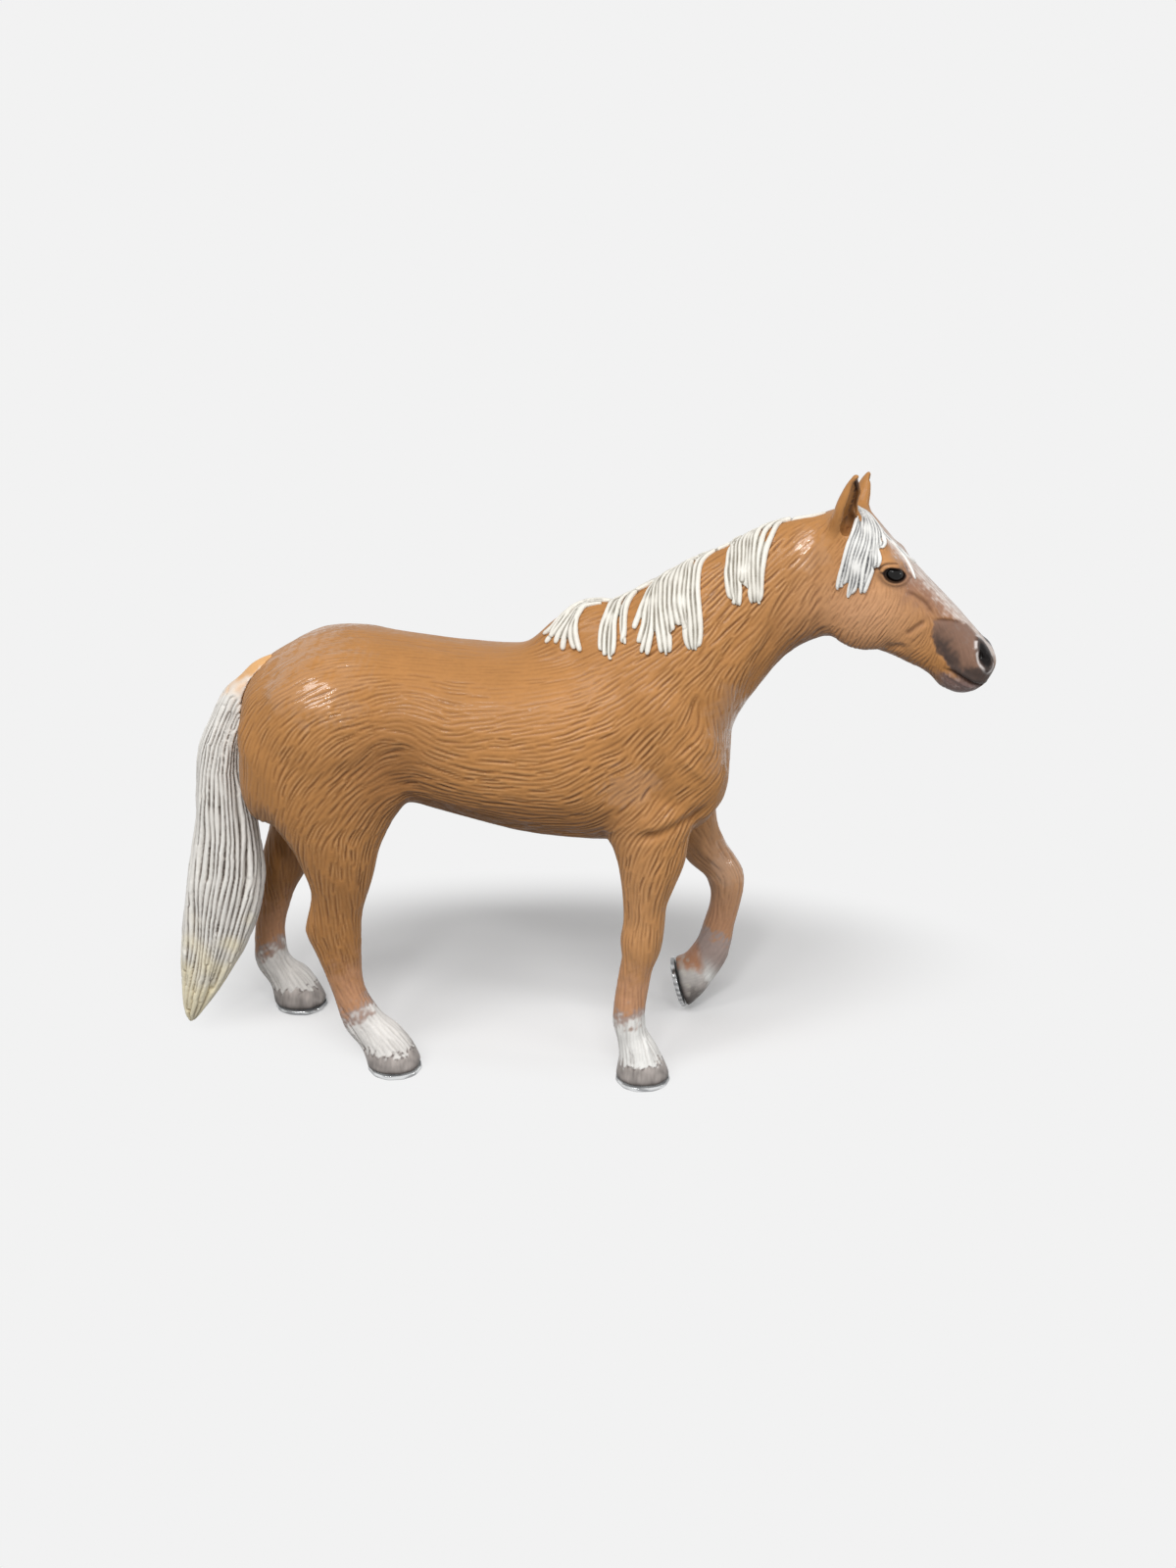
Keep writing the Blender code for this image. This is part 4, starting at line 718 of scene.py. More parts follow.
def filler(name, crest, radius):
    """Round body that fills the coat below a crest line of the side view."""
    form = bmesh.new()
    for (x, z), (next_x, next_z) in zip(crest, crest[1:]):
        for share in (0.0, 0.25, 0.5, 0.75):
            spot = (x + (next_x - x) * share, MIDDLE / MM, z + (next_z - z) * share - radius)
            bmesh.ops.create_icosphere(form, subdivisions=3, radius=radius * MM,
                                       matrix=Matrix.Translation(Vector(spot) * MM))
    return new_object(name, mesh_from(form, name))


def coat_skin(settings):
    """One fine skin round the trunk, head and legs, with twice as fine a head."""
    copies = []
    for node in [*COAT_NODES, "eye_right", "eye_left"]:
        piece = closed_copy(node, COAT_BEND)
        skin = Skin(piece.data)
        skin.push(np.full(len(skin.place), settings.seam_fill))
        copies.append(piece)
    copies += [filler("withers", WITHERS, WITHERS_RADIUS), filler("dock", DOCK, DOCK_RADIUS)]
    whole = melted("coat", copies, settings.grain)
    even = whole.modifiers.new("even", 'SMOOTH')
    even.factor = 0.5
    even.iterations = settings.evening
    settle(whole)
    skin = Skin(whole.data)
    crest = soft_step(1.0, 0.5, oval(skin.place, *WITHERS_OVAL))
    dock = soft_step(1.0, 0.6, oval(skin.place, *DOCK_OVAL))
    skin.relax(np.maximum(crest, dock), SMOOTHING_ROUNDS)
    skin.push(np.full(len(skin.place), -settings.seam_fill))
    form = bmesh.new()
    form.from_mesh(whole.data)
    head = in_head(skin.place)
    ahead = (head[:, 0] > 1.0) & (past_neck(skin.place) > 0) & (head[:, 2] < 7.5) & (skin.facing[:, 2] > -0.8)
    ahead |= (head[:, 0] > 15) & (head[:, 2] < -3)
    fine = skin.smoothed(ahead.astype(float), 4)
    face_edges = [edge for edge in form.edges if ahead[edge.verts[0].index] and ahead[edge.verts[1].index]]
    bmesh.ops.subdivide_edges(form, edges=face_edges, cuts=1, use_grid_fill=True)
    form.to_mesh(whole.data)
    form.free()
    skin = Skin(whole.data)
    skin.relax(np.concatenate([fine, np.ones(len(skin.place) - len(fine))]) * 0.9, 3)
    return whole, skin


def ear_place(points, side):
    """Points in one ear's frame, in shares of its length, with x out of its hollow."""
    turn = (Matrix.Rotation(-side * EAR_SPLAY, 3, 'X') @ Matrix.Rotation(EAR_LEAN, 3, 'Y')
            @ Matrix.Rotation(side * EAR_TURN, 3, 'Z'))
    away = in_head(points) * MM - np.array(EAR_BASE[side])
    return away @ np.array(turn) / EAR_LENGTH


def ear_hollow(points, side):
    """How deep each point lies in the mouth of an ear, 0 to 1."""
    place = ear_place(points, side)
    up = place[:, 2]
    half = np.interp(up, [-0.1, 0.3, 0.8, 1.0], [0.22, 0.27, 0.15, 0.0])
    inside = soft_step(1.0, 0.55, np.abs(place[:, 1]) / np.maximum(half, 0.01))
    return inside * soft_step(-0.18, 0.05, up) * soft_step(0.93, 0.78, up) * (place[:, 0] > -0.02)


def eye_ring(head, side):
    """Distance from an eye's middle in shares of its opening, and the height above it."""
    across = head[:, 0] - EYE_PLACE[0]
    up = head[:, 2] - EYE_PLACE[1]
    along = across * math.cos(EYE_TILT) + up * math.sin(EYE_TILT)
    over = up * math.cos(EYE_TILT) - across * math.sin(EYE_TILT)
    corner = soft_step(0.2, 1.1, along) * soft_step(0.1, 0.7, over)
    ring = np.hypot(along / EYE_SPAN[0], over / EYE_SPAN[1]) * (1 + 0.35 * corner)
    return np.where(side * head[:, 1] > 1.5, ring, 99.0), along, over


def nostril_ring(head, side):
    middle = np.array((NOSTRIL_PLACE[0], side * abs(NOSTRIL_PLACE[1]), NOSTRIL_PLACE[2]))
    out = np.array((0.50, side * 0.85, 0.10))
    out /= np.linalg.norm(out)
    tall = np.array((-0.28, 0.0, 1.0))
    tall -= out * (tall @ out)
    tall /= np.linalg.norm(tall)
    wide = np.cross(out, tall)
    away = head - middle
    ring = np.hypot(away @ tall / NOSTRIL_SPAN[0], away @ wide / NOSTRIL_SPAN[1])
    return np.where((np.linalg.norm(away, axis=1) < 5) & (side * head[:, 1] > 0.2), ring, 99.0)


def sculpt_body(skin):
    across = skin.place[:, 0] / MM
    up = skin.place[:, 2] / MM
    side = flank_of(skin.place)
    flat = sideways(skin, 0.25, 0.6)
    lift = np.zeros(len(across))
    for flank, width, depth, line in BODY_FOLDS:
        part = along_line(across, up, line, width) * depth * flat
        lift -= part * (side == flank) if flank else part
    lift *= soft_step(0.5, -1.0, past_neck(skin.place) / MM) * MM
    skin.push(lift)


def sculpt_face(skin):
    head = in_head(skin.place)
    ahead = soft_step(0.0, 1.5, past_neck(skin.place) / MM)
    lift = np.zeros(len(head))
    for width, depth, line in FACE_FOLDS:
        lift -= along_line(head[:, 0], head[:, 2], line, width) * depth * sideways(skin, 0.2, 0.5)
    bowls = np.zeros(len(head))
    for side, reach in ((-1, 1.4), (1, 3.4)):
        bowl = soft_step(reach, reach * 0.8, eye_ring(head, side)[0]) * soft_step(1.5, 3.0, side * head[:, 1])
        bowls = np.maximum(bowls, bowl)
    skin.relax(bowls * ahead, 600)
    for side in (-1, 1):
        ring = eye_ring(head, side)[0]
        inward = -skin.facing[ring < 1.2].mean(0)
        skin.place += inward / np.linalg.norm(inward) * (soft_step(1.0, 0.8, ring) * 0.65 * MM)[:, None]
    for side, force in ((-1, 1.0), (1, 0.2)):
        ring, _, over = eye_ring(head, side)
        lid = bell((ring - 1.22) / 0.20) * np.where(over > 0, 0.22, 0.24)
        lid += bell((ring - 1.80) / 0.22) * 0.16 * soft_step(-0.2, 0.3, over)
        lid -= bell((ring - 1.52) / 0.12) * 0.16 * soft_step(-0.2, 0.3, over)
        lift += lid * force
        ring = nostril_ring(head, side)
        lift += bell((ring - 1.25) / 0.25) * 0.28
        lift -= soft_step(1.05, 0.2, ring) * 1.0
    side_on = np.maximum(sideways(skin, 0.25, 0.55), soft_step(1.5, 1.2, eye_ring(head, -1)[0]))
    skin.push(lift * ahead * side_on * MM)
    lids = np.zeros(len(head))
    for side in (-1, 1):
        lids = np.maximum(lids, soft_step(2.4, 1.9, eye_ring(head, side)[0]))
    skin.relax(lids * 0.8, 3)
    deep = np.zeros(len(head))
    for side in (-1, 1):
        deep += ear_hollow(skin.place, side) * soft_step(-0.1, 0.3, skin.facing[:, 0])
    skin.push(-deep * 0.9 * MM)


def carve_coat(skin, hooves, settings):
    """Carve the hair and say how deeply each point is cut."""
    flow, strength = lie_of_hair(skin.place, skin.facing)
    head = in_head(skin.place)
    strength *= 1 - 0.75 * soft_step(0.50, 0.95, skin.facing[:, 2]) * soft_step(60 * MM, 66 * MM, skin.place[:, 2])
    for side in (-1, 1):
        strength *= soft_step(1.2, 2.0, eye_ring(head, side)[0])
        strength *= soft_step(1.1, 2.0, nostril_ring(head, side))
    for hoof in hooves:
        wall = hoof.height(skin.place)
        own = (hoof.distance(skin.place) < 14) & (flank_of(skin.place) == hoof.side)
        strength = np.where(own, strength * soft_step(3.6, 4.8, wall), strength)
    ahead = past_neck(skin.place) > 0
    body = carve_lines(skin, flow, strength * ~ahead, settings.hair_pitch, settings.hair_length,
                       settings.hair_width, BODY_HAIR_SEED, settings.hair_tries)
    gap, run, width = FACE_HAIR
    face = carve_lines(skin, flow, strength * ahead, settings.hair_pitch * gap, settings.hair_length * run,
                       settings.hair_width * width, FACE_HAIR_SEED, settings.hair_tries // 3)
    cut = (body + face * 0.7) * np.clip(strength, 0, 1) ** 0.6
    skin.push(-cut * settings.hair_depth)
    return cut


def hoof_paint(skin, hoof, colours, cut, settings):
    """Pale pastern with hair over the coronet, then the grey hoof wall."""
    mine = flank_of(skin.place) == hoof.side
    mine &= (skin.place[:, 0] > 0) == hoof.fore
    reach = hoof.distance(skin.place)
    wall = hoof.height(skin.place)
    ragged = ripple(skin.place, 2.2 * MM, 31) * 0.9 + ripple(skin.place, 0.9 * MM, 32) * 0.7
    raised = hoof.up[2] < 0.9
    pink = soft_step(24, 14.5, reach + ragged) * mine
    colours = mixed(colours, srgb(*settings.shin_colour), pink * 0.55)
    grey = soft_step(13.6, 11.2, reach + ragged * 0.8) * mine
    colours = mixed(colours, tint("grey pastern"), grey * (0.85 if raised else 0.75))
    white = soft_step(11.6, 9.2, reach + ragged) * mine
    white *= 1.0 if hoof.fore else 0.82
    if raised:
        white *= bell((wall - 6.0) / 1.6) * soft_step(13 * MM, 8 * MM, skin.place[:, 2])
    colours = mixed(colours, srgb(*settings.pastern_colour), white)
    shade = np.clip(cut, 0, 1) * white
    colours = mixed(colours, tint("pastern groove"), shade * 0.62)
    teeth = ripple(skin.place * np.array((1, 1, 0.25)), 0.9 * MM, 33) * 0.55
    edge = 4.0 + teeth + np.where(reach > 6.0, 0.4, 0) + (1.0 if raised else 0)
    horn = soft_step(edge + 0.25, edge - 0.25, wall) * mine * (reach < 9)
    growth = skin.place - hoof.middle
    growth = growth - np.outer(growth @ hoof.up, hoof.up) * 0.85
    grain = ripple(skin.place, 1.6 * MM, 34) * 0.08 + ripple(growth, 0.5 * MM, 37) * 0.10
    patches = ripple(skin.place, 2.6 * MM, 38) * 0.16
    tone = srgb(*settings.hoof_colour) * np.clip(0.95 + grain + patches + 0.16 * (wall - 2.5), 0.4, 1.5)[:, None]
    if raised:
        tone = mixed(tone, tint("lifted hoof, pale toe"), soft_step(5 * MM, 9 * MM, skin.place[:, 2]) * 0.6)
        tone = mixed(tone, tint("lifted hoof, dark tip"), soft_step(7 * MM, 2 * MM, skin.place[:, 2]) * 0.9)
    colours = colours + (tone - colours) * horn[:, None]
    dashes = bell((wall - edge - 0.1) / 0.30) * soft_step(-0.3, 0.4, ripple(skin.place, 0.75 * MM, 35)) * mine
    colours = mixed(colours, tint("coronet dash"), dashes * (reach < 9) * (0.2 if raised else 0.85))
    # Painted shade in a thin line where the hoof meets its pad
    under = bell((wall - 0.8) / 0.45) * mine * (reach < 8)
    colours = mixed(colours, tint("painted shade above a pad"), under * 0.8)
    if raised:
        heel = soft_step(8.8, 10.4, skin.place[:, 2] / MM + ragged * 0.3) * soft_step(6.4, 4.6, wall) * mine
        colours = mixed(colours, tint("lifted heel"), heel * (reach < 12) * 0.85)
        # Painted highlight in pale patches along the lifted hoof's lower edge
        lip = soft_step(0.2, 0.6, ripple(skin.place, 1.4 * MM, 36)) * bell((wall - 2.6) / 1.2) * mine
        colours = mixed(colours, tint("lifted hoof, painted highlight"), lip * (reach < 8) * 0.5)
    return colours


def face_paint(skin, colours, cut):
    head = in_head(skin.place)
    x, y, z = head.T
    ahead = soft_step(0.3, 1.5, past_neck(skin.place) / MM)
    rough = ripple(skin.place, 2.0 * MM, 41) * 0.45 + ripple(skin.place, 0.8 * MM, 42) * 0.25
    streak = (cut - 0.4) * 0.8
    # mauve shade from under the eye along the side of the nose
    crest = np.interp(x, [9, 12, 15, 18, 22, 26], [0.6, -0.4, -2.0, -4.6, -5.6, -6.5])
    shade = soft_step(9.5, 13.0, x) * bell((z - crest - 2.2 + rough) / 3.2)
    colours = mixed(colours, tint("mauve cheek"), shade * ahead * 0.80)
    # pale blaze down the ridge of the nose
    along = skin.place * np.array((0.22, 1.0, 0.22))
    thread = ripple(along, 0.55 * MM, 43) * 0.9 + ripple(along, 0.3 * MM, 44) * 0.6
    ridge = soft_step(4.2, 1.2, np.abs(y) + rough + streak) * soft_step(5.5, 9.5, x) * soft_step(
        0.0, 0.45, skin.facing[:, 2])
    colours = mixed(colours, tint("blaze base"), ridge * ahead * 0.75)
    white = soft_step(3.4, 0.6, np.abs(y) + rough) * ridge
    colours = mixed(colours, tint("blaze"), white * (0.55 + 0.45 * soft_step(-0.8, 0.8, thread)) * ahead * 0.72)
    colours = mixed(colours, tint("blaze thread"), ridge * soft_step(0.3, 1.3, thread) * ahead * 0.5)
    # muzzle: brown mauve with a charcoal border behind and below
    left = np.interp(z, [-15.5, -13.4, -10.7, -7.7, -4.9], [23.5, 20.5, 18.2, 16.8, 16.9])
    top = np.interp(x, [16, 19.6, 22.2, 27], [-4.9, -5.3, -6.4, -7.8])
    inside = soft_step(-0.25, 0.25, x - left + rough * 0.4) * soft_step(0.3, -0.2, z - top + rough * 0.3)
    inside *= soft_step(0.6, 1.4, np.abs(y))
    colours = mixed(colours, tint("muzzle"), inside * ahead * 0.92)
    border = bell((x - left - 1.1 + rough) / 1.5) * inside * soft_step(-5.2, -9.0, z)
    colours = mixed(colours, tint("muzzle border"), border * ahead * 0.85)
    lip = soft_step(-11.5, -13.5, z + rough) * soft_step(20.0, 22.5, x)
    colours = mixed(colours, tint("upper lip"), lip * ahead * 0.85)
    tip = soft_step(26.2, 27.8, x) * soft_step(-14.5, -12.0, z)
    colours = mixed(colours, tint("nose tip"), tip * ahead * 0.7)
    # chin and lower lip
    chin = soft_step(-14.0, -15.2, z + (x - 21) * 0.42 + rough * 0.5) * soft_step(17.0, 19.5, x)
    colours = mixed(colours, tint("chin"), chin * ahead * 0.92)
    colours = mixed(colours, tint("chin thread"), chin * ahead * soft_step(0.2, 1.2, thread) * 0.45)
    side_on = sideways(skin, 0.2, 0.5)
    mouth = along_line(x, z, FACE_FOLDS[MOUTH_FOLD][2], MOUTH_WIDTH) * side_on
    colours = mixed(colours, tint("mouth"), mouth * ahead)
    for row, width, force in FACE_MARKS:
        mark = along_line(x, z, FACE_FOLDS[row][2], width) * side_on
        colours = mixed(colours, tint("face line"), mark * ahead * force)
    for side in (-1, 1):
        ring, along, over = eye_ring(head, side)
        lids = bell((ring - 1.0) / 0.10)
        lids += bell((ring - 1.52) / 0.09) * (over > -0.1) * 0.8 * sideways(skin, 0.35, 0.6)
        lids += bell((over + 0.15 - along * 0.05) / 0.25) * soft_step(-2.9, -1.8, along) * (along < 0) * (
            ring > 1) * (ring < 2.2)
        colours = mixed(colours, tint("lid line"), lids * ahead * 0.95)
        colours = mixed(colours, tint("eye socket"), soft_step(1.05, 0.9, ring) * ahead)
        under = bell((ring - 1.45) / 0.35) * soft_step(0.0, -1.0, over)
        colours = mixed(colours, tint("below the eye"), under * ahead * 0.5)
        ring = nostril_ring(head, side)
        colours = mixed(colours, tint("nostril edge"), soft_step(1.75, 1.15, ring) * ahead * 0.85)
        colours = mixed(colours, tint("nostril"), soft_step(1.05, 0.8, ring) * ahead)
        # Painted highlight in a pale ring round each nostril, where its wet rim shines
        rim = bell((ring - 1.40) / 0.15) * soft_step(-1.3, 0.1, ripple(skin.place, 1.8 * MM, 46))
        colours = mixed(colours, tint("painted highlight round a nostril"), rim * ahead * 0.85)
        hollow = ear_hollow(skin.place, side)
        colours = mixed(colours, tint("ear hollow"), hollow * 0.95)
    return colours


def coat_paint(skin, hooves, cut, settings):
    """Paint the whole coat: painted highlights on the ridges, painted shade in the grooves, folds and underside, soft
    spots of painted light and shade, then the markings.
    """
    size = len(skin.place)
    colours = np.tile(srgb(*settings.coat_colour), (size, 1))
    broad = ripple(skin.place, 22 * MM, 21) * 0.035 + ripple(skin.place, 6 * MM, 22) * 0.02
    legs = soft_step(46 * MM, 38 * MM, skin.place[:, 2])
    broad += ripple(skin.place * np.array((1, 1, 0.3)), 2.2 * MM, 23) * 0.06 * legs
    colours *= (1 + broad)[:, None]
    # Painted shade in the hollows and folds of the skin
    bottom = skin.hollowness()
    bottom = skin.smoothed(bottom, 3)
    fold_shade = np.clip(bottom / (settings.grain * 0.10), -1, 1)
    colours = mixed(colours, srgb(*settings.groove_shade_colour), np.clip(fold_shade, 0, 1) * 0.30)
    # Painted shade in the carved grooves of the hair
    colours = mixed(colours, srgb(*settings.groove_shade_colour), np.clip(cut, 0, 1) ** 1.2 * 0.86)
    # Painted highlight on the ridges beside the carved grooves
    ridges = np.clip(-skin.smoothed(skin.hollowness(), 1) / (settings.hair_depth * 0.22), 0, 1)
    colours = mixed(colours, srgb(*settings.ridge_highlight_colour), ridges * soft_step(0.04, 0.3, skin.smoothed(cut, 8)) * 0.75)
    # Painted shade where the body faces down, above the legs
    low = soft_step(-0.25, -0.85, skin.facing[:, 2]) * soft_step(32 * MM, 40 * MM, skin.place[:, 2])
    colours = mixed(colours, tint("painted shade underneath"), low * 0.55)
    # Soft spots of painted light and shade
    for flank, x, z, length_x, length_z, colour, share in PAINTED_LIGHT_AND_SHADE:
        spot = bell(oval(skin.place, (x, z), (length_x, length_z)))
        if flank:
            spot *= flank_of(skin.place) == flank
        colours = mixed(colours, srgb(*colour), spot * share * (1 - np.clip(cut, 0, 1) * 0.6))
    for hoof in hooves:
        colours = hoof_paint(skin, hoof, colours, cut, settings)
    return face_paint(skin, colours, cut)


def varnish_of(skin, settings):
    """Thickness of the varnish: thin all over, thick where it pooled."""
    varnish = np.full(len(skin.place), settings.varnish)
    blotch = ripple(skin.place, 3.0 * MM, 71) * 0.35 + ripple(skin.place, 1.1 * MM, 72) * 0.30
    for flank, x, z, length_x, length_z in VARNISH_SPOTS:
        spot = bell(oval(skin.place, (x, z), (length_x, length_z))) * (flank_of(skin.place) == flank)
        varnish = np.maximum(varnish, soft_step(0.25, 0.7, spot + blotch * spot) * 0.95)
    return varnish


def capped(name, faces, corners, places, normals, colours, varnish):
    """One closed piece from some faces of the coat, its open borders capped inside the body."""
    used = np.unique(corners)
    number = np.full(len(places), -1, np.int64)
    number[used] = np.arange(len(used))
    loops = [number[face] for face in faces]
    ends = []
    for face in loops:
        ends.extend(zip(face.tolist(), np.roll(face, -1).tolist()))
    there = set(ends)
    border = [(b, a) for a, b in ends if (b, a) not in there]
    group = {}

    def root_of(point):
        while group.setdefault(point, point) != point:
            group[point] = group[group[point]]
            point = group[point]
        return point

    for a, b in border:
        group[root_of(a)] = root_of(b)
    points = places[used].tolist()
    rings = {}
    for a, b in border:
        rings.setdefault(root_of(a), []).append((a, b))
    cap_faces = []
    for ring in rings.values():
        inner = {a: len(points) + spot for spot, (a, _) in enumerate(ring)}
        points.extend((places[used[a]] - normals[used[a]] * CAP_DEPTH).tolist() for a, _ in ring)
        apex = len(points)
        points.append(np.mean([points[spot] for spot in inner.values()], axis=0).tolist())
        for a, b in ring:
            cap_faces.append((a, b, inner[b], inner[a]))
            cap_faces.append((inner[a], inner[b], apex))
    mesh = bpy.data.meshes.new(name)
    mesh.from_pydata(points, [], [face.tolist() for face in loops] + cap_faces)
    smooth_shaded(mesh)
    extra = len(points) - len(used)
    shades = np.concatenate([colours[used], np.tile(colours[used].mean(0), (extra, 1))])
    paint_mesh(mesh, shades, varnish[used])
    outward = np.concatenate([normals[used], np.tile((0.0, 0.0, 1.0), (extra, 1))])
    mesh.normals_split_custom_set_from_vertices(outward.tolist())
    return new_object(name, mesh)


def split_coat(whole, skin, colours, varnish):
    mesh = whole.data
    counts = read(mesh.polygons, "loop_total", 1, np.int32).ravel()
    corners = read(mesh.loops, "vertex_index", 1, np.int32).ravel()
    starts = np.concatenate([[0], np.cumsum(counts)[:-1]])
    middles = read(mesh.polygons, "center", 3)
    owners = piece_of(middles)
    pieces = []
    for number, name in enumerate(COAT_PIECES):
        mine = np.nonzero(owners == number)[0]
        faces = [corners[starts[i]:starts[i] + counts[i]] for i in mine]
        piece = capped(name, faces, np.concatenate(faces), skin.place, skin.facing, colours, varnish)
        pieces.append(piece)
    bpy.data.objects.remove(whole)
    return pieces


# Materials

def uneven_finish(tree, shader, roughness, size, depth):
    """Give a shader a roughness that varies a little and a faint unevenness, both in the object's own space."""
    place = tree.nodes.new('ShaderNodeTexCoord')
    noise = tree.nodes.new('ShaderNodeTexNoise')
    noise.inputs["Scale"].default_value = 1 / size
    noise.inputs["Detail"].default_value = 3
    spread = tree.nodes.new('ShaderNodeMapRange')
    spread.inputs["From Min"].default_value = 0.3
    spread.inputs["From Max"].default_value = 0.7
    spread.inputs["To Min"].default_value = roughness * 0.75
    spread.inputs["To Max"].default_value = roughness * 1.25
    bump = tree.nodes.new('ShaderNodeBump')
    bump.inputs["Strength"].default_value = 0.5
    bump.inputs["Distance"].default_value = depth
    tree.links.new(place.outputs["Object"], noise.inputs["Vector"])
    tree.links.new(noise.outputs["Fac"], spread.inputs["Value"])
    tree.links.new(spread.outputs["Result"], shader.inputs["Roughness"])
    tree.links.new(noise.outputs["Fac"], bump.inputs["Height"])
    tree.links.new(bump.outputs["Normal"], shader.inputs["Normal"])
    return noise


def painted(name, roughness, gloss, gloss_roughness, uneven=False):
    """Hand-painted vinyl: the painted colour under a thin varnish, which may be uneven."""
    made = bpy.data.materials.new(name)
    made.use_nodes = True
    tree = made.node_tree
    shader = tree.nodes["Principled BSDF"]
    paint = tree.nodes.new('ShaderNodeAttribute')
    paint.attribute_name = "paint"
    noise = uneven_finish(tree, shader, roughness, 0.0007, 0.00004)
    tone = tree.nodes.new('ShaderNodeMapRange')
    tone.inputs["To Min"].default_value = 0.90
    tone.inputs["To Max"].default_value = 1.10
    shift = tree.nodes.new('ShaderNodeVectorMath')
    shift.operation = 'SCALE'
    tree.links.new(noise.outputs["Fac"], tone.inputs["Value"])
    tree.links.new(paint.outputs["Color"], shift.inputs[0])
    tree.links.new(tone.outputs["Result"], shift.inputs["Scale"])
    tree.links.new(shift.outputs["Vector"], shader.inputs["Base Color"])
    shader.inputs["Specular IOR Level"].default_value = 0.15
    shader.inputs["Coat Weight"].default_value = gloss
    shader.inputs["Coat Roughness"].default_value = gloss_roughness
    if uneven:
        tree.links.new(paint.outputs["Alpha"], shader.inputs["Coat Weight"])
    return made


def plain(name, colour, roughness, size, depth, **sockets):
    made = bpy.data.materials.new(name)
    made.use_nodes = True
    shader = made.node_tree.nodes["Principled BSDF"]
    shader.inputs["Base Color"].default_value = (*colour, 1)
    uneven_finish(made.node_tree, shader, roughness, size, depth)
    for socket, value in sockets.items():
        shader.inputs[socket.replace("_", " ")].default_value = value
    return made


def finish_piece(piece, material, slot, *nodes):
    piece.data.materials.clear()
    piece.data.materials.append(material)
    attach(piece, BODY)
    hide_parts(*nodes)
    return piece


# Moulded hair

def strand_tree():
    """Geometry nodes that turn marked lines into round strands with a gentle wave."""
    tree = bpy.data.node_groups.new("moulded strands", 'GeometryNodeTree')
    face = tree.interface
    face.new_socket("Lines", in_out='INPUT', socket_type='NodeSocketGeometry')
    for name, kind, value in (("Strand radius", 'NodeSocketFloat', 0.0005), ("Wave height", 'NodeSocketFloat', 0.0002),
                              ("Waves per metre", 'NodeSocketFloat', 180.0), ("Seed", 'NodeSocketFloat', 3.0),
                              ("Sides", 'NodeSocketInt', 10)):
        face.new_socket(name, in_out='INPUT', socket_type=kind).default_value = value
    face.new_socket("Finish", in_out='INPUT', socket_type='NodeSocketMaterial')
    face.new_socket("Strands", in_out='OUTPUT', socket_type='NodeSocketGeometry')
    nodes, link = tree.nodes, tree.links.new
    given = nodes.new('NodeGroupInput')
    result = nodes.new('NodeGroupOutput')
    curve = nodes.new('GeometryNodeMeshToCurve')
    place = nodes.new('GeometryNodeInputPosition')
    noise = nodes.new('ShaderNodeTexNoise')
    noise.noise_dimensions = '4D'
    noise.inputs["Detail"].default_value = 0
    centre = nodes.new('ShaderNodeVectorMath')
    centre.operation = 'SUBTRACT'
    centre.inputs[1].default_value = (0.5, 0.5, 0.5)
    sway = nodes.new('ShaderNodeVectorMath')
    sway.operation = 'SCALE'
    move = nodes.new('GeometryNodeSetPosition')
    thickness = nodes.new('GeometryNodeInputNamedAttribute')
    thickness.data_type = 'FLOAT'
    thickness.inputs["Name"].default_value = "thickness"
    radius = nodes.new('ShaderNodeMath')
    radius.operation = 'MULTIPLY'
    widen = nodes.new('GeometryNodeSetCurveRadius')
    circle = nodes.new('GeometryNodeCurvePrimitiveCircle')
    circle.inputs["Radius"].default_value = 1.0
    sweep = nodes.new('GeometryNodeCurveToMesh')
    sweep.inputs["Fill Caps"].default_value = True
    real = nodes.new('GeometryNodeRealizeInstances')
    colour = nodes.new('GeometryNodeSetMaterial')
    link(given.outputs["Lines"], curve.inputs["Mesh"])
    link(curve.outputs["Curve"], move.inputs["Geometry"])
    link(place.outputs["Position"], noise.inputs["Vector"])
    link(given.outputs["Seed"], noise.inputs["W"])
    link(given.outputs["Waves per metre"], noise.inputs["Scale"])
    link(noise.outputs["Color"], centre.inputs[0])
    link(centre.outputs["Vector"], sway.inputs[0])
    link(given.outputs["Wave height"], sway.inputs["Scale"])
    link(sway.outputs["Vector"], move.inputs["Offset"])
    link(move.outputs["Geometry"], widen.inputs["Curve"])
    link(thickness.outputs["Attribute"], radius.inputs[0])
    link(given.outputs["Strand radius"], radius.inputs[1])
    link(radius.outputs["Value"], widen.inputs["Radius"])
    link(widen.outputs["Curve"], sweep.inputs["Curve"])
    link(radius.outputs["Value"], sweep.inputs["Scale"])
    link(given.outputs["Sides"], circle.inputs["Resolution"])
    link(circle.outputs["Curve"], sweep.inputs["Profile Curve"])
    link(sweep.outputs["Mesh"], real.inputs["Geometry"])
    link(real.outputs["Geometry"], colour.inputs["Geometry"])
    link(given.outputs["Finish"], colour.inputs["Material"])
    link(colour.outputs["Geometry"], result.inputs["Strands"])
    return tree


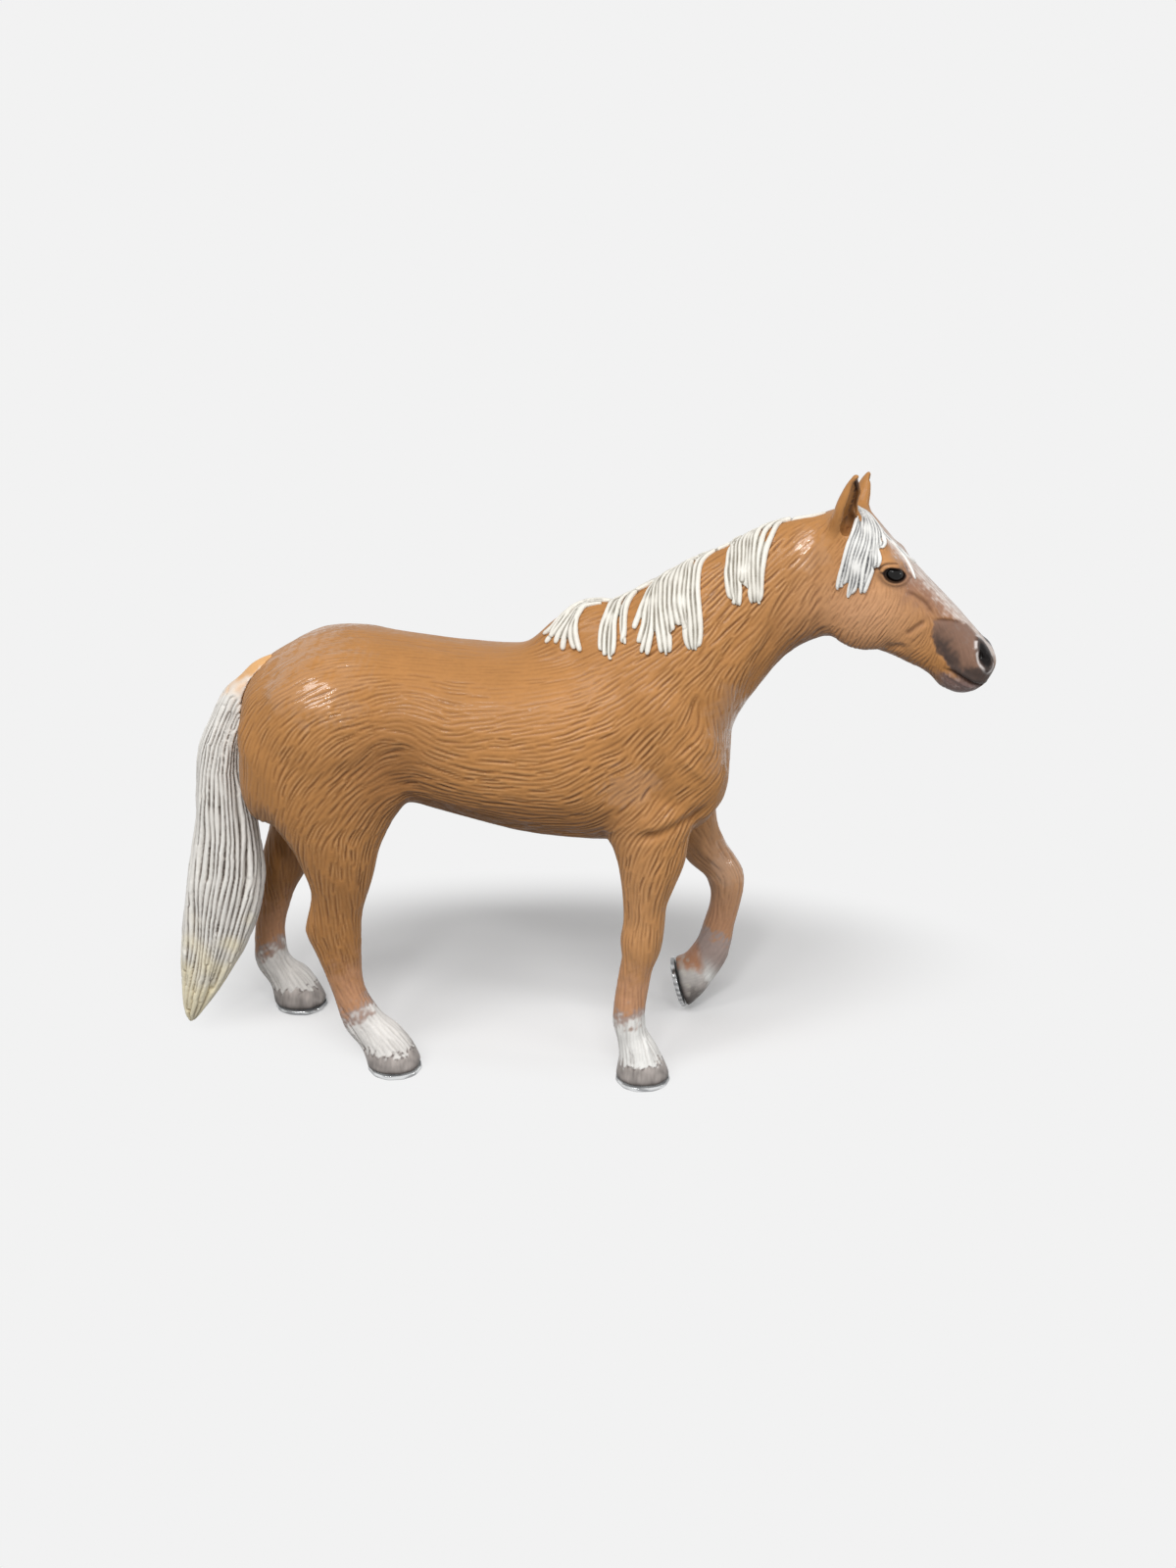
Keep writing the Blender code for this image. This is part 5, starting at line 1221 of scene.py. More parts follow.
def strands(name, paths, settings, finish):
    """A closed mesh of strands from paths of (point, thickness share)."""
    points, edges, shares = [], [], []
    for path in paths:
        first = len(points)
        points.extend(point[:] for point, _ in path)
        shares.extend(share for _, share in path)
        edges.extend((first + i, first + i + 1) for i in range(len(path) - 1))
    mesh = bpy.data.meshes.new(name)
    mesh.from_pydata(points, edges, [])
    layer = mesh.attributes.new("thickness", 'FLOAT', 'POINT')
    layer.data.foreach_set("value", np.array(shares, np.float32))
    piece = new_object(name, mesh)
    tree = bpy.data.node_groups.get("moulded strands") or strand_tree()
    sweep = piece.modifiers.new("strands", 'NODES')
    sweep.node_group = tree
    sockets = {item.name: item.identifier for item in tree.interface.items_tree if item.in_out == 'INPUT'}
    sweep[sockets["Strand radius"]] = settings.strand_radius
    sweep[sockets["Wave height"]] = settings.strand_wave
    sweep[sockets["Seed"]] = settings.strand_seed
    sweep[sockets["Sides"]] = settings.strand_sides
    sweep[sockets["Finish"]] = finish
    return settle(piece)


def skin_tree(meshes):
    """Search tree of some meshes' faces."""
    points, faces = [], []
    for mesh in meshes:
        first = len(points)
        points.extend(vertex.co.copy() for vertex in mesh.vertices)
        faces.extend([first + corner for corner in face.vertices] for face in mesh.polygons)
    return BVHTree.FromPolygons(points, faces)


def coat_meshes(*names):
    """Meshes of the finished coat that the hair lies on."""
    missing = [name for name in names if name not in bpy.data.objects]
    if missing:
        raise RuntimeError("Carve the coat before the hair: no " + ", ".join(missing))
    return [bpy.data.objects[name].data for name in names]


def view_frame():
    """The camera's place, and its directions back, right and up."""
    back = Vector((math.sin(VIEW_TURN) * math.cos(VIEW_RISE), -math.cos(VIEW_TURN) * math.cos(VIEW_RISE),
                   math.sin(VIEW_RISE)))
    right = Vector((0, 0, 1)).cross(back).normalized()
    return TARGET + back * VIEW_DISTANCE, back, right, back.cross(right)


def seen_point(tree, spot):
    """Where the camera's ray through a spot meets the skin, or else the skin nearest to the ray."""
    eye, _, right, up = view_frame()
    ray = (TARGET + right * spot[0] * MM + up * spot[1] * MM - eye).normalized()
    hit = tree.ray_cast(eye, ray)[0]
    if hit is None:
        hit = tree.find_nearest(eye + ray * ((MIDDLE - eye.y) / ray.y))[0]
    return hit


def laid_strand(tree, points, width, lift, steps=40):
    """A smooth strand through some points, laid on the skin: slim at the root, rounded at the tip."""
    marks = np.array([point[:] for point in points])
    run = np.concatenate([[0], np.cumsum(np.linalg.norm(np.diff(marks, axis=0), axis=1))])
    even = np.linspace(0, run[-1], steps + 1)
    slopes = np.gradient(marks, run, axis=0)
    part = np.clip(np.searchsorted(run, even, side='right') - 1, 0, len(run) - 2)
    gap = (run[part + 1] - run[part])[:, None]
    t = (even - run[part])[:, None] / gap
    smooth = ((1 + 2 * t) * (1 - t) ** 2 * marks[part] + t * (1 - t) ** 2 * gap * slopes[part]
              + t * t * (3 - 2 * t) * marks[part + 1] - t * t * (1 - t) * gap * slopes[part + 1])
    path = []
    for share, place in zip(even / run[-1], smooth):
        spot, normal, _, _ = tree.find_nearest(Vector(place))
        size = width * (0.80 + 0.24 * min(share * 1.6, 1))
        if share > 0.90:
            size *= 0.5 + 0.5 * math.sqrt(max(1 - ((share - 0.90) / 0.10) ** 2, 0))
        path.append((spot + normal * lift * min(1, 0.5 + share * 2), size))
    spots = np.array([spot[:] for spot, _ in path])
    for _ in range(10):
        spots[1:-1] = (spots[:-2] + 2 * spots[1:-1] + spots[2:]) / 4
    return [(Vector(spot), size) for spot, (_, size) in zip(spots, path)]


def seen_strands(tree, rows, radius, seed, root=None):
    """Strands through the spots that the camera sees, from a shared root if there is one."""
    chance = np.random.default_rng(seed)
    paths = []
    for row in rows:
        points = [seen_point(tree, spot) for spot in row]
        if root is not None:
            points.insert(0, root)
        paths.append(laid_strand(tree, points, 0.90 + 0.2 * chance.random(), radius * (0.35 + 0.5 * chance.random())))
    return paths


def nearest_strands(points, paths):
    """Distance in millimetres of each point from its nearest strand and from the next one."""
    near = np.full(len(points), 1e3)
    after = near.copy()
    places = points / MM
    squares = (places ** 2).sum(1)
    for path in paths:
        line = np.array([point[:] for point, _ in path]) / MM
        spots = np.linspace(0, len(line) - 1, len(line) * 3)
        line = np.stack([np.interp(spots, np.arange(len(line)), line[:, axis]) for axis in range(3)], 1)
        away = squares[:, None] + (line ** 2).sum(1)[None] - 2 * places @ line.T
        away = np.sqrt(np.clip(away.min(1), 0, None))
        closer = away < near
        after = np.where(closer, near, np.minimum(after, away))
        near = np.where(closer, away, near)
    return near, after


def strand_lines(skin, paths, width, reach):
    """1 on the lines where two strands lie side by side, 0 elsewhere."""
    near, after = nearest_strands(skin.place, paths)
    gap = after - near
    first, second = skin.links.T
    steps = np.linalg.norm(skin.place[first] - skin.place[second], axis=1) / MM
    slope = np.abs(gap[first] - gap[second]) / np.maximum(steps, 1e-6)
    steep = np.zeros(len(gap))
    np.maximum.at(steep, first, slope)
    np.maximum.at(steep, second, slope)
    steep = skin.smoothed(steep, 3)
    return (bell(gap / (width * np.maximum(steep, 0.4))) * soft_step(0.2, 0.5, steep)
            * soft_step(reach, reach * 0.7, after))


def hair_piece(name, paths, settings, finish, slot, node, dark, light, grain):
    """Strands melted together with a fine carved line between each two, painted pale with painted shade in those lines
    and in the hollows.
    """
    lines = strands(name, paths, settings, finish)
    whole = melted(name, [lines], grain, 20)
    skin = Skin(whole.data)
    skin.relax(np.ones(len(skin.place)), 2)
    line = strand_lines(skin, paths, settings.line_width / MM, 1.3)
    line = np.clip(line * (0.75 + 0.35 * ripple(skin.place, 3 * MM, settings.strand_seed + 20)), 0, 1)
    skin.push(-line * settings.line_depth)
    hollow = np.clip(skin.smoothed(skin.hollowness(), 2) / (grain * 0.18), 0, 1)
    colours = np.tile(tint(light), (len(skin.place), 1))
    # Painted shade in the lines between strands and in the hollows
    colours = mixed(colours, tint(dark), line * 0.95)
    colours = mixed(colours, tint(dark), hollow * 0.60)
    streaks = ripple(skin.place * np.array((1, 0.6, 0.5)), 1.6 * MM, settings.strand_seed + 50)
    colours = mixed(colours, tint(dark), soft_step(0.9, 1.8, streaks) * 0.18)
    smooth_shaded(whole.data)
    paint_mesh(whole.data, colours)
    return finish_piece(whole, finish, slot, node)


# Operators' work

def build_coat(settings):
    whole, skin = coat_skin(settings)
    hooves = [HoofPlace(limb) for limb in LIMBS]
    sculpt_body(skin)
    sculpt_face(skin)
    cut = carve_coat(skin, hooves, settings)
    colours = coat_paint(skin, hooves, cut, settings)
    pieces = split_coat(whole, skin, colours, varnish_of(skin, settings))
    finish = painted("coat paint", settings.roughness, settings.varnish, settings.varnish_roughness, uneven=True)
    for piece, node in zip(pieces, COAT_NODES):
        finish_piece(piece, finish, "coat", node)


def build_mane(settings):
    tree = skin_tree(coat_meshes("coat_right", "coat_left", "coat_head"))
    crest = [seen_point(tree, spot) for spot in CREST_STRAND]
    paths = [laid_strand(tree, crest, 0.75, settings.strand_radius * 0.1, 90)]
    paths += seen_strands(tree, MANE_STRANDS, settings.strand_radius, settings.strand_seed)
    finish = painted("mane paint", roughness=0.38, gloss=0.25, gloss_roughness=0.2)
    hair_piece("mane_hair", paths, settings, finish, "hair", "mane", "mane line shade", "mane", settings.hair_grain)


def build_forelock(settings):
    tree = skin_tree(coat_meshes("coat_head"))
    turn = Matrix.Rotation(-HEAD_TURN, 3, 'Z')
    above = POLL + turn @ Vector((FORELOCK_ROOT[0], FORELOCK_ROOT[1], 30)) * MM
    root = tree.ray_cast(above, Vector((0, 0, -1)))[0]
    paths = seen_strands(tree, FORELOCK_STRANDS, settings.strand_radius * 0.85, settings.strand_seed + 1, root)
    paths = [[(point, share * settings.forelock_share) for point, share in path] for path in paths]
    thin = seen_strands(tree, FOREHEAD_STRANDS, settings.strand_radius * 0.3, settings.strand_seed + 2, root)
    paths += [[(point, share * settings.forelock_share * 0.7) for point, share in path] for path in thin]
    finish = painted("forelock paint", roughness=0.38, gloss=0.25, gloss_roughness=0.2)
    hair_piece("forelock_hair", paths, settings, finish, "hair", "forelock", "forelock line shade", "forelock",
               settings.hair_grain)


def tail_strand(tree, angle, top, foot, width, chance, settings):
    """One strand down the tail, swaying a little round it."""
    line = np.array(TAIL_LINE) * MM
    phase, wave = chance.uniform(0, math.tau), chance.uniform(22, 34)
    sway = math.radians(chance.uniform(2, 5))
    path = []
    steps = max(int((top - foot) / 0.5), 8)
    for step in range(steps + 1):
        t = step / steps
        height = top + (foot - top) * t
        middle = Vector((float(np.interp(height * MM, line[::-1, 1], line[::-1, 0])), MIDDLE, height * MM))
        bend = angle + sway * math.sin(math.tau * height / wave + phase) + 0.10 * math.sin(
            math.tau * height / 38 + math.cos(angle) * 1.5)
        outward = Vector((math.cos(bend), math.sin(bend), 0))
        hit, normal, _, _ = tree.ray_cast(middle + outward * TAIL_REACH, -outward, TAIL_REACH)
        if hit is not None:
            round_end = math.sqrt(max(1 - max((t - 0.93) / 0.07, 0) ** 2, 0.15))
            path.append((hit - normal * settings.tail_sink, width * round_end))
    return path


def build_tail(settings):
    copy = closed_copy("tail", TAIL_BEND)
    base = Skin(copy.data)
    high = soft_step(57 * MM, 65 * MM, base.place[:, 2])
    dock = soft_step(65.5 * MM, 69.5 * MM, base.place[:, 2])
    base.push(settings.tail_sink * (1.2 * high - 1.0 * dock - 1.3 * (1 - high)))
    base.place += dock[:, None] * np.array((0.5, 0.0, -0.4)) * MM
    base.turn_out()
    tree = skin_tree([frame["nodes"]["tail"].data])
    chance = np.random.default_rng(settings.strand_seed + 6)
    paths = []
    for number in range(settings.tail_strands):
        angle = math.tau * (number + 0.3 * chance.random()) / settings.tail_strands
        foot = 3.2 if number % 3 == 0 else chance.uniform(4, 20)
        paths.append(tail_strand(tree, angle, 66.5 - chance.uniform(0, 4), foot, chance.uniform(0.85, 1.15), chance,
                                 settings))
    paths = [path for path in paths if len(path) > 4]
    short = []
    for number in range(settings.tail_strands // 2):
        angle = math.tau * (number + 0.4 * chance.random()) / (settings.tail_strands // 2)
        foot = chance.uniform(3.5, 24)
        short.append(tail_strand(tree, angle, foot + chance.uniform(8, 20), foot, chance.uniform(1.0, 1.3), chance,
                                 settings))
    short = [path for path in short if len(path) > 4]
    finish = painted("tail paint", roughness=0.40, gloss=0.22, gloss_roughness=0.2)
    lumps = strands("tail_locks", paths + short, settings, finish)
    whole = melted("tail_hair", [copy, lumps], settings.tail_grain)
    skin = Skin(whole.data)
    skin.relax(np.ones(len(skin.place)), 1)
    line = strand_lines(skin, paths, settings.tail_line / MM, 1.5)
    line = np.clip(line * (0.8 + 0.3 * ripple(skin.place, 4 * MM, 63)), 0, 1)
    skin.push(-line * settings.tail_depth)
    up = skin.place[:, 2] / MM
    hollow = np.clip(skin.smoothed(skin.hollowness(), 2) / (settings.tail_grain * 0.16), -1, 1)
    colours = np.tile(tint("tail"), (len(skin.place), 1))
    # Painted highlight on the tail's raised ridges
    colours = mixed(colours, tint("tail ridge highlight"), np.clip(-hollow, 0, 1) * 0.8)
    tip = soft_step(26, 7, up + ripple(skin.place, 5 * MM, 65) * 3)
    colours = mixed(colours, tint("tail tip"), tip * 0.85)
    dark = np.array(tint("tail line"))
    shade = dark + (np.array(tint("tail tip line")) - dark) * (tip * 0.8)[:, None]
    top = soft_step(60, 67, up)
    share = np.clip(line * 0.75 + np.clip(hollow, 0, 1) * 0.45, 0, 1) * (1 - 0.6 * top)
    patches = ripple(skin.place * np.array((1, 1, 0.4)), 3 * MM, 67)
    share = np.clip(share * (1.0 + 0.15 * patches) * (1 - 0.45 * tip), 0, 1)
    colours = colours + (shade - colours) * share[:, None]
    dock = soft_step(65.0, 69.5, up + ripple(skin.place, 2.5 * MM, 66) * 0.8)
    dock *= soft_step(-0.3, 0.6, skin.facing[:, 2] + 0.25 * ripple(skin.place, 1.5 * MM, 68))
    colours = mixed(colours, tint("dock"), dock * 0.85)
    smooth_shaded(whole.data)
    paint_mesh(whole.data, colours)
    finish_piece(whole, finish, "tail_hair", "tail")


def build_eyes(settings):
    finish = plain("eye gloss", srgb(*settings.eye_colour), roughness=0.3, size=0.0006, depth=0.00001,
                   Coat_Weight=0.50, Coat_Roughness=0.03, Specular_IOR_Level=0.05)
    for side, node in ((-1, "eye_right"), (1, "eye_left")):
        low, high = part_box(node)
        middle = (low + high) / 2
        form = bmesh.new()
        bmesh.ops.create_uvsphere(form, u_segments=48, v_segments=32, radius=1)
        turn = Matrix.Rotation(-HEAD_TURN, 4, 'Z') @ Matrix.Rotation(-EYE_TILT, 4, 'Y')
        size = Matrix.Diagonal((settings.eye_length / 2, settings.eye_depth / 2, settings.eye_height / 2, 1))
        inward = settings.eye_set * (1 if side < 0 else LEFT_EYE_SINK)
        middle += turn.to_3x3() @ Vector((EYE_SHIFT[0], -side * inward, EYE_SHIFT[1]))
        form.transform(Matrix.Translation(middle) @ turn @ size)
        mesh = mesh_from(form, node + "_bead")
        smooth_shaded(mesh)
        finish_piece(new_object(node + "_bead", mesh), finish, "eye", node)


def build_pads(settings):
    """Clear pads with a soft, uneven rim."""
    finish = painted("clear pad", roughness=0.10, gloss=1.0, gloss_roughness=0.04)
    shader = finish.node_tree.nodes["Principled BSDF"]
    shader.inputs["Metallic"].default_value = settings.pad_shine
    shader.inputs["Transmission Weight"].default_value = settings.pad_clearness
    for limb in LIMBS:
        node = limb.replace("leg", "pad")
        place = HoofPlace(limb)
        points = points_of(frame["nodes"][node].data)
        up = Vector(place.up)
        heights = (points - place.middle) @ place.up
        low, high = heights.min(), heights.max()
        toe = Vector((1, 0, 0)) - up * up.x
        toe.normalize()
        across = up.cross(toe)
        reach = ((points - place.middle) @ np.array(toe)).max()
        half = ((points - place.middle) @ np.array(across)).max()
        form = bmesh.new()
        rows = []
        for level, share in PAD_RINGS:
            row = []
            for side in range(PAD_SIDES):
                angle = math.tau * side / PAD_SIDES
                wave = 1 + 0.010 * math.sin(5 * angle + place.side) + 0.008 * math.sin(11 * angle + 2)
                spot = (Vector(place.middle) + up * (low + (high - low) * level)
                        + toe * math.cos(angle) * reach * share * min(wave, 1.02)
                        + across * math.sin(angle) * half * share * min(wave, 1.02))
                row.append(form.verts.new(spot))
            rows.append(row)
        for lower, upper in zip(rows, rows[1:]):
            for side in range(PAD_SIDES):
                after = (side + 1) % PAD_SIDES
                form.faces.new((lower[side], lower[after], upper[after], upper[side]))
        form.faces.new(reversed(rows[0]))
        form.faces.new(rows[-1])
        bmesh.ops.recalc_face_normals(form, faces=form.faces)
        mesh = mesh_from(form, node + "_clear")
        spots = points_of(mesh)
        dull = soft_step(0.6, -0.5, ripple(spots * np.array((1, 1, 3)), 2.4 * MM, 91))
        paint_mesh(mesh, mixed(np.tile(srgb(*settings.pad_colour), (len(spots), 1)), tint("dull pad"), dull * 0.8))
        flags = np.array([len(face.vertices) == 4 for face in mesh.polygons])
        mesh.polygons.foreach_set("use_smooth", flags)
        finish_piece(new_object(node + "_clear", mesh), finish, "pad", node)


def build_core(settings):
    finish = plain("core plastic", srgb(*settings.core_colour), roughness=0.7, size=0.001, depth=0.00005)
    node = frame["nodes"]["body_core"]
    node.data.materials.clear()
    node.data.materials.append(finish)


def area_lamp(name, place, size, power, aim):
    lamp = bpy.data.lights.new(name, 'AREA')
    lamp.shape = 'RECTANGLE'
    lamp.size, lamp.size_y = size
    lamp.energy = power
    holder = new_object(name, lamp)
    holder.matrix_world = (Matrix.Translation(place)
                           @ (Vector(place) - Vector(aim)).to_track_quat('Z', 'Y').to_matrix().to_4x4())
    return holder


def shader_node(tree, kind, **sockets):
    node = tree.nodes.new(kind)
    for name, value in sockets.items():
        node.inputs[name.replace("_", " ")].default_value = value
    return node


def seen_rays(tree):
    """1 for a ray that shows the background itself: camera, glossy or transmission."""
    path = tree.nodes.new('ShaderNodeLightPath')
    total = path.outputs["Is Camera Ray"]
    for name in ("Is Glossy Ray", "Is Transmission Ray"):
        either = tree.nodes.new('ShaderNodeMath')
        either.operation = 'MAXIMUM'
        tree.links.new(total, either.inputs[0])
        tree.links.new(path.outputs[name], either.inputs[1])
        total = either.outputs[0]
    return total


def lay_floor(settings, glow):
    """Pale floor that takes the shadow near the figure and fades into the backdrop."""
    form = bmesh.new()
    bmesh.ops.create_circle(form, cap_ends=True, segments=96, radius=FLOOR_RADIUS)
    mesh = mesh_from(form, "floor")
    floor = new_object("floor", mesh)
    paper = bpy.data.materials.new("floor paper")
    paper.use_nodes = True
    tree = paper.node_tree
    tree.nodes.clear()
    link = tree.links.new
    near = shader_node(tree, 'ShaderNodeBsdfDiffuse', Color=(settings.floor_tone,) * 3 + (1,))
    soft = shader_node(tree, 'ShaderNodeEmission', Color=(1, 1, 1, 1), Strength=settings.floor_glow)
    sheet = tree.nodes.new('ShaderNodeAddShader')
    even = shader_node(tree, 'ShaderNodeEmission', Color=glow)
    dim = shader_node(tree, 'ShaderNodeBsdfDiffuse', Color=(settings.floor_bounce,) * 3 + (1,))
    spot = tree.nodes.new('ShaderNodeTexCoord')
    away = tree.nodes.new('ShaderNodeVectorMath')
    away.operation = 'LENGTH'
    stretch = shader_node(tree, 'ShaderNodeMapping', Location=SHADOW_SHIFT, Scale=SHADOW_STRETCH)
    far = shader_node(tree, 'ShaderNodeMapRange', From_Min=SHADOW_FADE[0], From_Max=SHADOW_FADE[1])
    far.interpolation_type = 'SMOOTHSTEP'
    pale = tree.nodes.new('ShaderNodeMixShader')
    blend = tree.nodes.new('ShaderNodeMixShader')
    result = tree.nodes.new('ShaderNodeOutputMaterial')
    link(near.outputs[0], sheet.inputs[0])
    link(soft.outputs[0], sheet.inputs[1])
    link(spot.outputs["Object"], stretch.inputs["Vector"])
    link(stretch.outputs["Vector"], away.inputs[0])
    link(away.outputs["Value"], far.inputs["Value"])
    link(far.outputs["Result"], pale.inputs["Fac"])
    link(sheet.outputs[0], pale.inputs[1])
    link(even.outputs[0], pale.inputs[2])
    link(seen_rays(tree), blend.inputs["Fac"])
    link(dim.outputs[0], blend.inputs[1])
    link(pale.outputs[0], blend.inputs[2])
    link(blend.outputs[0], result.inputs["Surface"])
    mesh.materials.append(paper)


def light_world(settings, glow):
    """Even light all round, which the camera sees as the backdrop."""
    world = bpy.data.worlds.new("studio")
    bpy.context.scene.world = world
    world.use_nodes = True
    tree = world.node_tree
    light = tree.nodes["Background"]
    light.inputs["Color"].default_value = (1, 1, 1, 1)
    light.inputs["Strength"].default_value = settings.sky_strength
    bright = shader_node(tree, 'ShaderNodeBackground', Color=glow)
    blend = tree.nodes.new('ShaderNodeMixShader')
    tree.links.new(seen_rays(tree), blend.inputs["Fac"])
    tree.links.new(light.outputs[0], blend.inputs[1])
    tree.links.new(bright.outputs[0], blend.inputs[2])
    tree.links.new(blend.outputs[0], tree.nodes["World Output"].inputs["Surface"])


def hang_lamps(settings):
    for name, power, place, size, aim, in_gloss in LAMPS:
        lamp = area_lamp(name, place, size, getattr(settings, power), aim)
        lamp.visible_glossy = in_gloss


def place_camera():
    camera = bpy.data.cameras.new("camera")
    camera.lens = VIEW_LENS
    camera.sensor_width = VIEW_SENSOR
    camera.clip_start, camera.clip_end = VIEW_CLIP
    holder = new_object("camera", camera)
    place, back, _, _ = view_frame()
    holder.matrix_world = Matrix.Translation(place) @ back.to_track_quat('Z', 'Y').to_matrix().to_4x4()
    bpy.context.scene.camera = holder


def build_stage(settings):
    """Pale floor that fades into an even backdrop, soft lamps and the camera."""
    backdrop = float(srgb(settings.backdrop_level))
    glow = (backdrop, backdrop, backdrop, 1)
    lay_floor(settings, glow)
    light_world(settings, glow)
    hang_lamps(settings)
    bpy.context.scene.view_settings.view_transform = 'Standard'
    place_camera()


# Settings

def length(name, text, value):
    return FloatProperty(name=name, description=text, default=value, min=0, subtype='DISTANCE', unit='LENGTH',
                         precision=5)


def level(name, text, value):
    return FloatVectorProperty(name=name, description=text, default=value, min=0, max=255)


class HorseCoatSettings(bpy.types.PropertyGroup):
    """Sizes and colours of the carved coat."""

    grain: length("Grain", "Distance between points of the fine skin", 0.00027)
    seam_fill: length("Seam fill", "How far the nodes grow to close their seams", 0.0002)
    evening: IntProperty(name="Evening", description="Rounds that even out the skin", default=12, min=0)
    hair_pitch: length("Hair pitch", "Distance between carved hairs", 0.00070)
    hair_length: length("Hair length", "Usual length of a carved hair", 0.0062)
    hair_width: length("Hair width", "Half width of a carved groove", 0.00020)
    hair_depth: length("Hair depth", "Depth of a carved groove", 0.00034)
    hair_tries: IntProperty(name="Hair tries", description="Places tried for a hair", default=80000, min=0)
    coat_colour: level("Coat", "Painted colour of the coat", (181, 128, 75))
    # Painted highlight on the ridges of the coat's hair
    ridge_highlight_colour: level("Ridges", "Colour where the brush caught the ridges", (222, 172, 120))
    # Painted shade in the grooves and hollows of the coat
    groove_shade_colour: level("Grooves", "Dark wash in the grooves", (98, 58, 28))
    shin_colour: level("Shins", "Paler coat above the pasterns", (205, 156, 126))
    pastern_colour: level("Pasterns", "White of the pasterns", (248, 247, 243))
    hoof_colour: level("Hooves", "Grey of the hoof walls", (170, 162, 157))
    roughness: FloatProperty(name="Roughness", description="Roughness of the paint", default=0.42, min=0, max=1)
    varnish: FloatProperty(name="Varnish", description="Amount of varnish", default=0.10, min=0, max=1)
    varnish_roughness: FloatProperty(name="Varnish roughness", description="Roughness of the varnish",
                                     default=0.13, min=0, max=1)


class HorseHairSettings(bpy.types.PropertyGroup):
    """Sizes of the moulded mane, forelock and tail."""

    strand_radius: length("Strand radius", "Radius of a moulded strand", 0.00049)
    strand_wave: length("Strand wave", "How far a strand sways", 0.00018)
    strand_seed: IntProperty(name="Seed", description="Seed of the strands' sway", default=3)
    strand_sides: IntProperty(name="Sides", description="Sides of a strand", default=10, min=3)
    line_width: length("Line width", "Half width of the line between two strands", 0.00016)
    line_depth: length("Line depth", "Depth of the line between two strands", 0.00026)
    hair_grain: length("Hair grain", "Distance between points of the mane", 0.00015)
    tail_grain: length("Tail grain", "Distance between points of the tail", 0.00021)
    tail_strands: IntProperty(name="Tail strands", description="Strands side by side round the tail", default=34,
                              min=8)
    tail_sink: length("Tail sink", "How deep the tail's strands lie in its node", 0.00035)
    tail_line: length("Tail line", "Half width of the line between two strands of the tail", 0.00018)
    tail_depth: length("Tail depth", "Depth of the line between two strands of the tail", 0.00030)
    forelock_share: FloatProperty(name="Forelock share", description="Thickness of a forelock strand against one "
                                  "of the mane", default=0.80, min=0.1)


class HorseTrimSettings(bpy.types.PropertyGroup):
    """Sizes and colours of the eyes, pads and core."""

    eye_length: length("Eye length", "Length of an eye bead", 0.0032)
    eye_height: length("Eye height", "Height of an eye bead", 0.0025)
    eye_depth: length("Eye depth", "Depth of an eye bead", 0.0024)
    eye_set: length("Eye set", "How far a bead sits inside its node", 0.0005)
    eye_colour: level("Eye", "Colour of the eyes", (9, 7, 6))
    pad_colour: level("Pad", "Tint of the clear pads", (226, 228, 229))
    pad_shine: FloatProperty(name="Shine", description="Silver shine of the pads", default=0.45, min=0, max=1)
    pad_clearness: FloatProperty(name="Clearness", description="How clear the pads are", default=0.50, min=0, max=1)
    core_colour: level("Core", "Colour of the hidden core", (96, 96, 96))


class HorseStageSettings(bpy.types.PropertyGroup):
    """Light and background."""

    backdrop_level: FloatProperty(name="Backdrop", description="Grey level of the backdrop", default=242)
    floor_tone: FloatProperty(name="Floor", description="Tone of the floor paper", default=0.80, min=0, max=1)
    floor_glow: FloatProperty(name="Floor glow", description="Even light of the floor paper", default=0.13, min=0)
    floor_bounce: FloatProperty(name="Floor bounce", description="Tone of the floor that lights the object",
                                default=0.18, min=0, max=1)
    sky_strength: FloatProperty(name="Sky", description="Strength of the even light", default=0.33, min=0)
    key_power: FloatProperty(name="Key lamp", description="Power of the key lamp", default=1.55, unit='POWER')
    front_power: FloatProperty(name="Front lamp", description="Power of the high front lamp", default=1.25,
                               unit='POWER')
    low_power: FloatProperty(name="Low lamp", description="Power of the low lamp at the right", default=0.50,
                             unit='POWER')
    gloss_power: FloatProperty(name="Gloss lamp", description="Power of the small lamp that draws the gloss",
                               default=0.45, unit='POWER')
    right_power: FloatProperty(name="Right lamp", description="Power of the right lamp", default=0.35,
                               unit='POWER')


# Operators

class CarveCoat(bpy.types.Operator):
    """Carve and paint the coat of the trunk, head and legs."""

    bl_idname = "toyhorse.carve_coat"
    bl_label = "Carve coat"

    def execute(self, context):
        build_coat(context.scene.toy_horse_coat)
        return {'FINISHED'}


class MouldMane(bpy.types.Operator):
    """Mould the strands of the mane."""

    bl_idname = "toyhorse.mould_mane"
    bl_label = "Mould mane"

    def execute(self, context):
        build_mane(context.scene.toy_horse_hair)
        return {'FINISHED'}


class MouldForelock(bpy.types.Operator):
    """Mould the strands of the forelock."""

    bl_idname = "toyhorse.mould_forelock"
    bl_label = "Mould forelock"

    def execute(self, context):
        build_forelock(context.scene.toy_horse_hair)
        return {'FINISHED'}


class MouldTail(bpy.types.Operator):
    """Mould and paint the hanging tail."""

    bl_idname = "toyhorse.mould_tail"
    bl_label = "Mould tail"

    def execute(self, context):
        build_tail(context.scene.toy_horse_hair)
        return {'FINISHED'}


class SetEyes(bpy.types.Operator):
    """Set the two glossy eye beads."""

    bl_idname = "toyhorse.set_eyes"
    bl_label = "Set eyes"

    def execute(self, context):
        build_eyes(context.scene.toy_horse_trim)
        return {'FINISHED'}


class FitPads(bpy.types.Operator):
    """Fit a clear pad under each hoof."""

    bl_idname = "toyhorse.fit_pads"
    bl_label = "Fit pads"

    def execute(self, context):
        build_pads(context.scene.toy_horse_trim)
        return {'FINISHED'}


